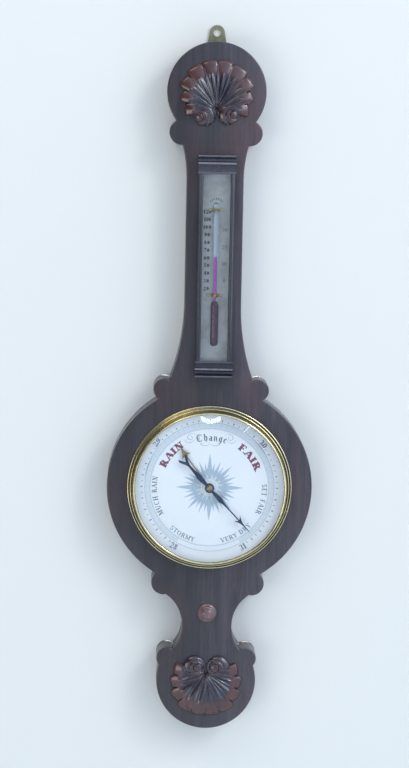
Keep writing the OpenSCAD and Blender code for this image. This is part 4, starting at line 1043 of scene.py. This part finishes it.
# width of a letter, then its strokes: b broad, t thin, l a middling one, f a foot and a an arc
PEN = {
    "A": (.90, "t .06 0 .44 1;b .46 1 .82 0;t .2 .33 .68 .33;f .06 0;f .82 0"),
    "C": (.88, "a .48 .5 .38 .5 50 310;t .76 1 .76 .74"),
    "D": (.92, "b .2 0 .2 1;a .34 .5 .44 .5 -90 90;t .2 1 .38 1;t .2 0 .38 0;f .2 0;f .2 1"),
    "E": (.76, "b .2 0 .2 1;t .2 .98 .66 .98;t .2 .52 .5 .52;t .2 .02 .66 .02;t .66 1 .66 .76;"
               "t .66 0 .66 .24;f .2 0;f .2 1"),
    "F": (.74, "b .2 0 .2 1;t .2 .98 .66 .98;t .2 .5 .5 .5;t .66 1 .66 .74;t .5 .38 .5 .62;f .2 0;f .2 1"),
    "H": (.96, "b .2 0 .2 1;b .76 0 .76 1;t .2 .5 .76 .5;f .2 0;f .2 1;f .76 0;f .76 1"),
    "I": (.42, "b .2 0 .2 1;f .2 0;f .2 1"),
    "M": (1.1, "t .16 0 .16 1;b .18 1 .54 .08;t .54 .08 .9 1;b .92 0 .92 1;f .16 0;f .92 0;f .14 1;"
               "f .94 1"),
    "N": (.95, "t .16 0 .16 1;b .18 1 .76 .02;t .78 0 .78 1;f .16 0;f .14 1;f .78 1"),
    "O": (.94, "a .46 .5 .4 .5 0 360"),
    "R": (.86, "b .2 0 .2 1;a .4 .75 .3 .25 -90 90;t .2 1 .42 1;t .2 .5 .42 .5;b .46 .5 .76 .02;f .2 0;"
               "f .2 1;f .78 0"),
    "S": (.74, "a .38 .74 .28 .25 20 265;a .38 .27 .3 .26 -160 95;t .62 .98 .62 .78;t .1 .02 .1 .24"),
    "T": (.84, "b .42 0 .42 1;t .06 .98 .78 .98;t .06 1 .06 .76;t .78 1 .78 .76;f .42 0"),
    "U": (.92, "b .2 1 .2 .34;a .47 .34 .28 .34 180 360;t .75 .34 .75 1;f .2 1;f .75 1"),
    "V": (.88, "b .1 1 .44 .02;t .44 .02 .78 1;f .1 1;f .78 1"),
    "Y": (.84, "b .1 1 .42 .5;t .42 .5 .74 1;b .42 .5 .42 0;f .1 1;f .74 1;f .42 0"),
    "0": (.72, "a .34 .5 .28 .5 0 360"), "1": (.46, "b .26 0 .26 1;t .08 .8 .26 .98;f .26 0"),
    "2": (.70, "a .34 .72 .26 .27 -25 170;t .56 .6 .08 .04;b .06 .07 .64 .07"),
    "3": (.66, "a .3 .75 .26 .24 -90 150;a .3 .27 .28 .27 -150 90"),
    "4": (.74, "t .5 1 .04 .3;t .04 .28 .7 .28;b .5 0 .5 1"),
    "5": (.68, "b .14 .93 .6 .93;t .14 1 .1 .54;a .3 .32 .28 .32 -150 120"),
    "6": (.70, "a .34 .3 .27 .3 0 360;a .6 .34 .53 .62 95 180"),
    "7": (.66, "b .06 .93 .62 .93;t .62 .95 .24 0"),
    "8": (.70, "a .34 .76 .22 .23 0 360;a .34 .27 .27 .27 0 360"),
    "9": (.70, "a .34 .7 .27 .3 0 360;a .08 .66 .53 .62 -85 0"),
}


def pen_quads(glyph, bold, thin):
    """Quads of one letter in its own square, a height of 1."""
    quads = []

    def bar(x0, y0, x1, y1, w0, w1=None):
        w1 = w0 if w1 is None else w1
        dx, dy = x1 - x0, y1 - y0
        n = hypot(dx, dy) or 1
        nx, ny = -dy / n / 2, dx / n / 2
        quads.append([(x0 + nx * w0, y0 + ny * w0), (x0 - nx * w0, y0 - ny * w0),
                      (x1 - nx * w1, y1 - ny * w1), (x1 + nx * w1, y1 + ny * w1)])

    for part in glyph.split(";"):
        kind, *nums = part.split()
        v = [float(n) for n in nums]
        if kind == "b":
            bar(*v, bold)
        elif kind == "t":
            bar(*v, thin)
        elif kind == "l":
            bar(*v, bold * 0.6)
        elif kind == "f":
            bar(v[0] - bold * 0.5 - 0.08, v[1] + thin * (0.5 if v[1] < 0.5 else -0.5),
                v[0] + bold * 0.5 + 0.08, v[1] + thin * (0.5 if v[1] < 0.5 else -0.5), thin)
        else:
            cx, cy, rx, ry, a0, a1 = v
            rx, ry = rx - bold / 4, ry - thin / 2
            steps = max(4, int(abs(a1 - a0) / 18))
            pts = []
            for k in range(steps + 1):
                a = radians(a0 + (a1 - a0) * k / steps)
                pts.append((cx + rx * cos(a), cy + ry * sin(a), thin + (bold - thin) * abs(cos(a)) ** 1.5))
            for p, q in zip(pts, pts[1:]):
                bar(p[0], p[1], q[0], q[1], p[2], q[2])
    return quads


def word_mesh(text, place, height, bold, thin, gap, span=None):
    """Faces of a word. place takes millimetres along and up from the word's middle to (x, z).
    With a span, in millimetres, its letters are as wide as fills that length."""
    space = 0.55
    wide = 1.0
    if span:
        room = span / height - gap * (len(text) - 1) - space * text.count(" ")
        wide = room / sum(PEN[c][0] for c in text if c != " ")
    steps = [PEN[c][0] * wide + gap if c != " " else space for c in text]
    u = -(sum(steps) - gap) / 2
    out = []
    for c, step in zip(text, steps):
        if c != " ":
            w, strokes = PEN[c]
            mid = (u + w * wide / 2) * height
            for q in pen_quads(strokes, bold, thin):
                out.append([place(mid, (x - w / 2) * wide * height, y * height) for x, y in q])
        u += step
    return out


def curve_line(points, steps=4):
    """A smooth line through points, with a double point kept as a corner."""
    out = []
    for k in range(len(points) - 1):
        p0 = Vector(points[max(k - 1, 0)])
        p1, p2 = Vector(points[k]), Vector(points[k + 1])
        p3 = Vector(points[min(k + 2, len(points) - 1)])
        if (p1 - p2).length < 1e-6:
            continue
        if (p0 - p1).length < 1e-6:
            p0 = p1
        if (p3 - p2).length < 1e-6:
            p3 = p2
        for j in range(steps):
            t = j / steps
            bend = (2 * p0 - 5 * p1 + 4 * p2 - p3) * t * t
            twist = (3 * p1 - p0 - 3 * p2 + p3) * t ** 3
            out.append(tuple((2 * p1 + (p2 - p0) * t + bend + twist) / 2))
    out.append(tuple(points[-1]))
    return out


def on_circle(c, radius, angle, inward=False):
    """Sets letters one by one on a circle: feet at the radius, or heads when the word reads the other way."""
    s = -1 if inward else 1

    def place(mid, dx, dy):
        a = radians(angle) + s * mid / radius
        r = radius + s * dy
        x, z = sin(a), cos(a)
        return (c[0] + x * r + s * z * dx, c[1] + z * r - s * x * dx)
    return place


def on_line(x, z):
    return lambda mid, dx, dy: (x + mid + dx, z + dy)


def print_piece(name, quads, d, slot, tone):
    """Printed marks: every face is a thin closed tile on the surface that carries it."""
    verts, faces = [], []
    for q in quads:
        b, n = len(verts), len(q)
        verts += [(x, d, z) for x, z in q] + [(x, d + MARK, z) for x, z in q]
        faces += [[b + k for k in range(n)], [b + n + k for k in reversed(range(n))]]
        faces += [[b + k, b + n + k, b + n + (k + 1) % n, b + (k + 1) % n] for k in range(n)]
    me = bpy.data.meshes.new(name)
    me.from_pydata([spot(*v) for v in verts], [], faces)
    outward(me)
    dress(name, me, slot, mat=M[tone])


def on_card(name, quads, tone, over=OVER):
    print_piece(name, quads, CARD_D + over, "white_dial", tone)


def on_scale(name, quads, tone):
    print_piece(name, quads, SCALE_D + OVER, "silvered_plate", tone)


def ring_band(c, r0, r1, a0, a1, step=2.0):
    """Quads of a flat band between two radii and two directions."""
    n = max(1, int(abs(a1 - a0) / step))
    out = []
    for k in range(n):
        p, q = a0 + (a1 - a0) * k / n, a0 + (a1 - a0) * (k + 1) / n
        out.append([clock(c, p, r0), clock(c, q, r0), clock(c, q, r1), clock(c, p, r1)])
    return out


# the dial's ring of inches, its figures and its words

# direction of the first and last inch, to the left and right of the top
LAST = 150.0
TRACK_LOW, TRACK_HIGH = 81.4, 87.6


def card_marks(name, tone, over, *rows):
    """Bars in circles on the dial. A row is radius, first direction, step, count, length, width and taper."""
    meshes = [ring_bars(tone, BODY, CARD_D + over, *row) for row in rows]
    joined(name, meshes, "white_dial", mat=M[tone])


def circles(lines, step=2.0):
    """Thin rings from (radius, width)."""
    out = []
    for r, w in lines:
        out += ring_band(BODY, r - w / 2, r + w / 2, -180, 180, step)
    return out


on_card("dial_band", ring_band(BODY, TRACK_LOW, TRACK_HIGH, -LAST, LAST), "ink_band", 0.0)
on_card("dial_rings", circles(((88.0, 0.42), (81.0, 0.42), (79.9, 0.16))), "ink_grey", 0.03)
middle = (TRACK_LOW + TRACK_HIGH) / 2
card_marks("dial_ticks", "ink_pale", 0.08,
           (middle, -LAST, 1.0, 301, 3.6, 0.14), (middle, -LAST, 5.0, 61, 6.6, 0.26))
card_marks("dial_dots", "ink_mid", 0.06,
           (91.2, -LAST + 10, 10.0, 29, 2.8, 1.2), (90.8, -LAST + 5, 10.0, 30, 1.6, 0.9))
for text, way, radius, inward, tone in (
        ("28", -LAST, 97.0, True, "ink_grey"), ("29", -50, 89.8, False, "ink_grey"),
        ("30", 50, 89.8, False, "ink_dark"), ("31", LAST, 97.0, True, "ink_mid")):
    quads = word_mesh(text, on_circle(BODY, radius, way, inward), 7.2, 0.24, 0.09, 0.12)
    on_card("dial_figure_" + text, quads, tone, 0.1)
# name, ink, radius, height, broad and thin stroke, whether the heads are inwards; then each word's
# text, direction and length
for name, tone, radius, high, bold, thin, inward, words in (
        ("dial_words", "ink_mid", 71.6, 6.8, 0.22, 0.08, False,
         (("MUCH RAIN", -100, 53.5), ("SET FAIR", 102, 41.5))),
        ("dial_low_words", "ink_grey", 78.2, 6.4, 0.22, 0.08, True,
         (("STORMY", 209, 38.5), ("VERY DRY", 149.5, 48.5))),
        ("dial_red_words", "ink_red", 65.4, 9.6, 0.32, 0.12, False,
         (("RAIN", -49.5, 39), ("FAIR", 52, 39)))):
    quads = []
    for text, way, span in words:
        quads += word_mesh(text, on_circle(BODY, radius, way, inward), high, bold, thin, 0.14, span)
    on_card(name, quads, tone)


# the word at the top: black letter, with broad upright strokes, pointed feet and hairlines

BLACK = {
    "C": (1.0, "b .2 .22 .2 .84;l .2 .84 .5 1.04;l .2 .22 .5 .0;l .5 .0 .86 .2;t .5 1.04 .5 .1;"
               "t .36 .96 .36 .12;l .5 1.04 .88 .9;t .88 .9 .88 .7"),
    "h": (.6, "b .14 .08 .14 1.0;l .14 1.0 .02 .9;l .14 .58 .4 .7;b .42 .64 .42 .1;l .42 .1 .3 -.12;"
              "l .14 .08 .24 .0"),
    "a": (.6, "b .14 .12 .14 .34;l .14 .34 .4 .44;b .42 .12 .42 .56;l .42 .6 .16 .68;l .14 .12 .28 .0;"
              "l .28 .0 .42 .14;l .42 .12 .54 .0"),
    "n": (.6, "b .14 .08 .14 .56;l .14 .56 .04 .68;l .14 .58 .38 .7;b .42 .6 .42 .1;l .42 .1 .54 .0;"
              "l .14 .08 .24 .0"),
    "g": (.6, "b .14 .14 .14 .52;l .14 .52 .34 .7;b .42 .62 .42 -.06;l .42 -.06 .2 -.26;"
              "l .14 .14 .3 .02;l .3 .02 .42 .12;l .42 .64 .54 .7"),
    "e": (.5, "b .14 .12 .14 .52;l .14 .52 .32 .7;l .32 .7 .42 .54;t .42 .54 .14 .34;l .14 .12 .3 .0;"
              "l .3 .0 .44 .12"),
}
BLACK_R = 64.0
BLACK_HIGH = 9.6
place = on_circle(BODY, BLACK_R, 0)
quads, u = [], -18.8
for c in "Change":
    w, strokes = BLACK[c]
    mid = u + w * BLACK_HIGH / 2
    for quad in pen_quads(strokes, 0.15, 0.04):
        quads.append([place(mid, (x - w / 2) * BLACK_HIGH, y * BLACK_HIGH) for x, y in quad])
    u += (w + 0.06) * BLACK_HIGH
on_card("dial_black_letter", quads, "ink_dark")


def curl(points, width):
    """A penned flourish: a smooth line that is widest in its middle."""
    line = curve_line(points, 6)
    out = []
    for k, (p, q) in enumerate(zip(line, line[1:])):
        a, b = Vector(p), Vector(q)
        pressed = width * (0.25 + 0.75 * sin(pi * (k + 0.5) / len(line)))
        n = Vector((-(b - a).y, (b - a).x)).normalized() * pressed
        out.append([tuple(a + n / 2), tuple(a - n / 2), tuple(b - n / 2), tuple(b + n / 2)])
    return out


# places along and up from the middle of the black letter word, for its right side, and the pen's width
CURLS = (
    (((19.5, 7.5), (24, 9.5), (29, 8.0), (31, 4.0), (28, 1.0), (24.5, 2.5), (25, 5.5), (28, 5.8)), 0.6),
    (((20, 4.0), (24, -1.0), (29, -3.0), (34, -1.0), (33, 2.0)), 0.5),
    (((0, -4.0), (4, -6.0), (9, -6.4), (13, -4.6), (12, -2.8), (9.6, -3.6)), 0.6))
curls = []
for side in (-1, 1):
    for points, width in CURLS:
        curls += curl([(BODY[0] + side * x, BODY[1] + BLACK_R + z) for x, z in points], width)
on_card("dial_flourish", curls, "ink_grey")


# the dial's compass star

def star_point(a, r_in, r_out, half):
    """One ray of the star: a kite."""
    x, z = clock(BODY, a, r_in + (r_out - r_in) * 0.22)
    dx, dz = half * cos(radians(a)), half * sin(radians(a))
    return [clock(BODY, a, r_in), (x - dx, z + dz), clock(BODY, a, r_out), (x + dx, z - dz)]


# first direction, step, inner and outer radius, half width and height over the card of each row of points
for name, first, step, r_in, r_out, half, over in (
        ("star_points", 0, 90, 11.0, 46.5, 4.4, 0.065),
        ("star_points_diagonal", 45, 90, 11.0, 42.5, 3.4, 0.055),
        ("star_points_between", 22.5, 45, 14.0, 39.0, 2.6, 0.045),
        ("star_points_small", 11.25, 22.5, 16.0, 34.5, 1.9, 0.035)):
    quads = [star_point(first + step * k, r_in, r_out, half) for k in range(int(360 / step))]
    on_card(name, quads, "ink_pale", over)
hatch = [(26.0, 11.25, 22.5, 16, 18.0, 0.3, 0.2), (17.5, 2.8, 5.625, 64, 10.0, 0.24, 0.5)]
for k in range(4):
    hatch += [(33.0, 1.2 + 90 * k, 1.6, 2, 14.0, 0.3, 0.3), (30.0, 46.2 + 90 * k, 1.6, 2, 12.0, 0.25, 0.3)]
card_marks("star_shade", "ink_grey", 0.08, *hatch)
card_marks("star_rays", "ink_pale", 0.02, (21.0, 5.6, 11.25, 32, 16.0, 1.0, 0.15))
on_card("star_rings", circles(((23.2, 0.3), (20.6, 0.2), (12.0, 0.3), (9.5, 0.2)), 4), "ink_grey", 0.1)


# the thermometer's scale

# millimetres for a degree, and the place of its lowest figure
DEG = 103.3 / 100.0
Z20 = BULB_TOP + 17.7
FIGURE = 4.9
Z120 = Z20 + 100 * DEG
# place beside the tube, degrees of a step, count, length and width of each row of lines
rows = [line_bars("ink_black", THERM_X + x, SCALE_D + OVER, Z120, step * DEG, *sizes) for x, step, *sizes in (
    (-5.6, 2, 51, 1.6, 0.16), (-5.9, 10, 11, 2.6, 0.26), (5.6, 3.6, 28, 1.6, 0.16))]
joined("scale_marks", rows, "silvered_plate", mat=M["ink_black"])
left, right = [], []
for n in range(11):
    bold = 0.55 if n in (4, 7) else 0.38
    place = on_line(THERM_X - 11.6, Z20 + 10 * n * DEG - FIGURE / 2 + 0.05)
    left += word_mesh(str(20 + 10 * n), place, FIGURE, bold, 0.14, 0.14)
for n in range(4):
    place = on_line(THERM_X + 12.2, Z20 + (10.6 + 22 * n) * DEG - FIGURE / 2 + 0.05)
    right += word_mesh(str(10 * n), place, FIGURE, 0.26, 0.1, 0.14)
on_scale("scale_figures", left, "ink_black")
on_scale("scale_figures_right", right, "ink_brown")
arch = ring_bars("ink_black", (THERM_X, TUBE_TOP - 5.0), SCALE_D + OVER, 9.6, -54.0, 18.0, 7, 3.0, 1.1)
joined("scale_arch", [arch], "silvered_plate", mat=M["ink_black"])


# the bezel and the glass

# radius and height over the front board
BEZEL = soften([(r, CASE_D + h) for r, h in (
    (103.0, 0), (112.1, 0), (112.1, 1.7), (111.7, 2.6), (110.9, 3.0), (110.2, 2.7), (109.9, 2.2),
    (108.9, 2.2), (108.6, 4.4), (108.1, 5.5), (107.4, 5.95), (106.8, 5.6), (106.5, 5.0), (106.1, 5.0),
    (105.8, 8.0), (105.2, 10.4), (104.7, 12.0), (104.3, 14.2), (103.9, 15.3), (103.0, 15.95),
    (102.0, 15.7), (101.4, 14.9), (101.2, 13.75), (103.0, 13.75))], 0.32, 3)


def polished(r, d):
    """How much of the bezel's polish is left: its bead, its middle edge and its inner roll are bright."""
    h = d - CASE_D
    bead = 1.0 if r > 110.4 and h > 2.4 else 0.0
    edge = 1.0 if 106.9 < r < 108.3 and h > 5.2 else 0.0
    roll = step_between(h, 12.0, 13.6) if r < 105.2 else 0.0
    return max(bead, edge, roll, 0.25 if 104.4 < r < 106.2 else 0.0)


def painted_bezel_highlight(way):
    """Painted highlight on the bezel by direction: brightest at its upper left, standing in for a reflection
    of the light there.
    """
    brightest = 333
    return 0.9 * bell((way - brightest + 180) % 360 - 180, 32)


BEZEL_STEPS = 240
# the bezel's mask: clean polish on its bead, edge and roll, and a painted highlight at its upper left
piece("bezel_ring", *turned(facing(BODY), BEZEL, BEZEL_STEPS), "bezel_brass", "bezel", angle=50,
      values=[max(polished(*p), painted_bezel_highlight(k * 360 / BEZEL_STEPS)) for p in BEZEL for k in range(BEZEL_STEPS)])

glass = [(0, 56.0), (102.7, 56.0), (102.8, 56.1), (102.8, 57.25), (100.9, 57.3), (100.7, 57.35),
         (89.6, 58.96), (89.0, 59.0), (0, 59.0)]
piece("bevelled_glass", *turned(facing(BODY), glass, 240), "clear_glass", "dial_glass", mat=M["dial_glass"],
      angle=2)


# the hands

def hand_piece(name, node, body, slot, outlines, angle, d0, d1, bevel, hub_r, bore, mat=None):
    """A hand filed from sheet of a depth from d0 to d1: flat, with its edges chamfered all round."""
    c, s = cos(radians(angle)), sin(radians(angle))
    meshes = []
    for line in outlines:
        turned_line = [(BODY[0] + x * c + z * s, BODY[1] - x * s + z * c) for x, z in line]
        meshes.append(mesh_of(name, board([turned_line], [(0, d0), (0, d1 - bevel), (bevel, d1)])))
    hub = [(bore, d0 - 0.02), (hub_r - bevel, d0 - 0.02), (hub_r, d0 + bevel), (hub_r, d1 - bevel / 2),
           (hub_r - bevel, d1 + 0.03), (bore, d1 + 0.03)]
    verts, faces = turned(facing(BODY), hub, 64)
    me = bpy.data.meshes.new(name)
    me.from_pydata([spot(*v) for v in verts], [], faces)
    outward(me)
    joined(name, meshes + [me], slot, node, body, mat)


def mirrored(right):
    """A closed outline, clockwise, from its right half from top to bottom."""
    return right + [(-x, z) for x, z in reversed(right) if abs(x) > 1e-6]


# double points are corners of a curve
arrow = curve_line([(0, 84.5), (0.5, 78), (0.75, 72), (1.2, 67.5), (2.4, 62.5), (5.8, 55.4), (5.8, 55.4),
                    (1.6, 59.4), (0.85, 58.4), (0.85, 50), (1.0, 38), (1.6, 30), (2.9, 23.0), (3.1, 19.5),
                    (2.1, 10), (1.9, 3)])
tail = [(1.9, -3)] + curve_line([(1.9, -4), (2.4, -9), (3.4, -16), (3.6, -20.5), (2.3, -29), (1.7, -37),
                                 (2.1, -43.5), (6.9, -54.0), (6.9, -54.0), (5.4, -57.4), (5.4, -57.4),
                                 (0, -48.2)])
hand_piece("blued_hand", "indicator_hand", "indicator", "blued_steel", [mirrored(arrow), mirrored(tail)],
           137.0, 49.72, 50.5, 0.25, 6.5, 0.85)
pointer = [(0, 68), (1.4, 64.0), (2.9, 59.5), (6.4, 53.6), (6.4, 53.6), (3.2, 54.6), (0.8, 52.4), (0.75, 40),
           (0.9, 20), (1.1, 4), (1.1, 3)]
counter = [(1.1, -3), (1.2, -6), (2.1, -12), (1.6, -16), (0, -18.5)]
hand_piece("set_pointer_hand", "set_hand", "set_pointer", "brass", [mirrored(pointer), mirrored(counter)],
           -36.5, 46.5, 47.28, 0.2, 5.0, 2.55, M["set_brass"])


# the knob and its rose, by radius and height over the front board

def over_board(profile):
    return [(r, CASE_D + h) for r, h in profile]


rose = soften(over_board([(4.05, 0), (12.9, 0), (12.9, 1.2), (12.3, 2.3), (11.2, 2.9), (10.4, 3.5),
                          (4.05, 3.5)]), 0.5, 3)
piece("rose", *turned(facing(KNOB), rose), "turned_wood", "knob_rose", angle=50)
knob = soften(over_board([(2.02, 3.8), (9.5, 3.8), (10.4, 4.8), (10.4, 6.2), (9.9, 7.3), (8.8, 7.9),
                          (8.3, 8.1), (7.9, 9.0), (6.6, 10.6), (4.0, 11.7), (0.0, 12.2)]), 0.5, 3, False)
piece("knob", *turned(facing(KNOB), knob + over_board([(0, 8.8), (2.02, 8.8)])), "turned_wood", "set_knob",
      "knob", angle=50)


# wall, floor, light and camera, in metres

def paint(name, colour, see_through):
    """Matt paint. The wall is clear from behind, and for light that leaves the back of the case."""
    mat, nt, bsdf, where = new_material(name)
    shade = tuple(v * 0.96 for v in colour[:3]) + (1.0,)
    plug(nt, blend_node(nt, noise_node(nt, where, 1.3, 3, 0.5), colour, shade), bsdf.inputs["Base Color"])
    plug(nt, 0.9, bsdf.inputs["Roughness"])
    plug(nt, 0.1, bsdf.inputs["Specular IOR Level"])
    if see_through:
        away = math_node(nt, "GREATER_THAN", nt.nodes.new("ShaderNodeLightPath").outputs["Ray Length"], 0.008)
        back = nt.nodes.new("ShaderNodeNewGeometry").outputs["Backfacing"]
        clear = nt.nodes.new("ShaderNodeBsdfTransparent").outputs[0]
        mixed(nt, times(nt, away, minus(nt, 1.0, back)), clear, bsdf.outputs[0],
              nt.nodes["Material Output"].inputs["Surface"])
    return mat


def sheet(name, corners, mat):
    me = bpy.data.meshes.new(name)
    me.from_pydata(corners, [], [list(range(4))])
    me.materials.append(mat)
    ob = bpy.data.objects.new(name, me)
    bpy.context.scene.collection.objects.link(ob)


FLOOR = -1.7
sheet("wall", [(-4, 0.001, FLOOR), (4, 0.001, FLOOR), (4, 0.001, 2.4), (-4, 0.001, 2.4)],
      paint("wall_paint", lin(228, 227, 221), True))
sheet("floor", [(-4, -5, FLOOR), (4, -5, FLOOR), (4, 4, FLOOR), (-4, 4, FLOOR)],
      paint("floor_paint", lin(226, 230, 232), False))


def room_light(tree):
    """A room with its windows to the right and above: brighter and bluer there, dim to the left."""
    tree.nodes.clear()
    window_side = Vector((0.78, -0.40, 0.48)).normalized()
    toward = tree.nodes.new("ShaderNodeVectorMath")
    toward.operation = "DOT_PRODUCT"
    plug(tree, tree.nodes.new("ShaderNodeTexCoord").outputs["Generated"], toward.inputs[0])
    plug(tree, tuple(window_side), toward.inputs[1])

    def strength(*ends):
        n = tree.nodes.new("ShaderNodeMapRange")
        plug(tree, toward.outputs["Value"], n.inputs["Value"])
        for label, v in zip(("From Min", "From Max", "To Min", "To Max"), ends):
            plug(tree, v, n.inputs[label])
        return n.outputs["Result"]

    path = tree.nodes.new("ShaderNodeLightPath").outputs
    pick = tree.nodes.new("ShaderNodeMix")
    plug(tree, path["Is Glossy Ray"], pick.inputs[0])
    plug(tree, strength(-0.9, 0.9, 0.18, 1.3), pick.inputs[2])
    plug(tree, strength(0.1, 0.98, 0.1, 2.1), pick.inputs[3])
    room, seen = tree.nodes.new("ShaderNodeBackground"), tree.nodes.new("ShaderNodeBackground")
    plug(tree, lin(198, 218, 246), room.inputs["Color"])
    plug(tree, pick.outputs[0], room.inputs["Strength"])
    plug(tree, lin(226, 236, 246), seen.inputs["Color"])
    plug(tree, 0.9, seen.inputs["Strength"])
    eye = math_node(tree, "MAXIMUM", path["Is Camera Ray"], path["Is Transmission Ray"])
    out = tree.nodes.new("ShaderNodeOutputWorld")
    mixed(tree, eye, room.outputs[0], seen.outputs[0], out.inputs["Surface"])


world = bpy.context.scene.world or bpy.data.worlds.new("room")
bpy.context.scene.world = world
world.use_nodes = True
room_light(world.node_tree)


def lamp(name, place, aim, wide, tall, watts, colour):
    data = bpy.data.lights.new(name, "AREA")
    data.shape = "RECTANGLE"
    data.size, data.size_y = wide, tall
    data.energy = watts
    data.color = colour
    ob = bpy.data.objects.new(name, data)
    ob.location = place
    ob.rotation_euler = (Vector(aim) - Vector(place)).to_track_quat("-Z", "Y").to_euler()
    bpy.context.scene.collection.objects.link(ob)


WHITE = (1, 1, 1)
MIDDLE = (0, 0, -0.45)
# name, place, aim, width, height, watts and colour; the last two are bars of a far window that the bevel of
# the dial's glass mirrors
for values in (
        ("window", (2.6, -2.6, 1.3), MIDDLE, 2.6, 2.4, 44, (0.98, 0.99, 1.0)),
        ("window_pane", (2.0, -2.1, 1.65), MIDDLE, 0.6, 0.7, 17, (0.95, 0.98, 1.0)),
        ("room_fill", (-2.4, -3.4, -1.0), MIDDLE, 2.6, 1.4, 30, (1.0, 0.985, 0.95)),
        ("ceiling_glow", (-1.2, -1.7, 1.7), MIDDLE, 1.5, 1.1, 13, (1.0, 0.93, 0.74)),
        ("back_fill", (0.6, 2.6, 0.8), MIDDLE, 1.8, 1.8, 60, WHITE),
        ("pane_middle", (0.111, -3.6, 0.011), (0, 0, -0.52), 0.34, 0.014, 0.16, WHITE),
        ("pane_right", (0.703, -3.5, -0.165), (0.045, 0, -0.53), 0.24, 0.012, 0.08, WHITE)):
    lamp(*values)


def camera():
    """The photograph was taken from a little above the dial, tilted down by 7 degrees."""
    side, away, drop = -94.9, 3084.0, -17.0
    tilt, yaw, roll = radians(7.037), radians(1.612), radians(-1.09)
    sensor = 36.0
    focal_pixels, picture_pixels = 2266.0, 768.0
    data = bpy.data.cameras.new("camera")
    data.sensor_width = sensor
    data.lens = focal_pixels * sensor / picture_pixels
    data.clip_start, data.clip_end = 0.05, 60
    ahead = Vector((sin(yaw) * cos(tilt), cos(yaw) * cos(tilt), -sin(tilt)))
    right = Vector((cos(yaw), -sin(yaw), 0))
    up = Vector((sin(yaw) * sin(tilt), cos(yaw) * sin(tilt), cos(tilt)))
    x = right * cos(roll) - up * sin(roll)
    y = right * sin(roll) + up * cos(roll)
    m = Matrix((x, y, -ahead)).transposed().to_4x4()
    m.translation = spot(side, away, HEAD[1] + drop)
    ob = bpy.data.objects.new("camera", data)
    ob.matrix_world = m
    bpy.context.scene.collection.objects.link(ob)
    bpy.context.scene.camera = ob


camera()
bpy.context.scene.view_settings.view_transform = "Standard"
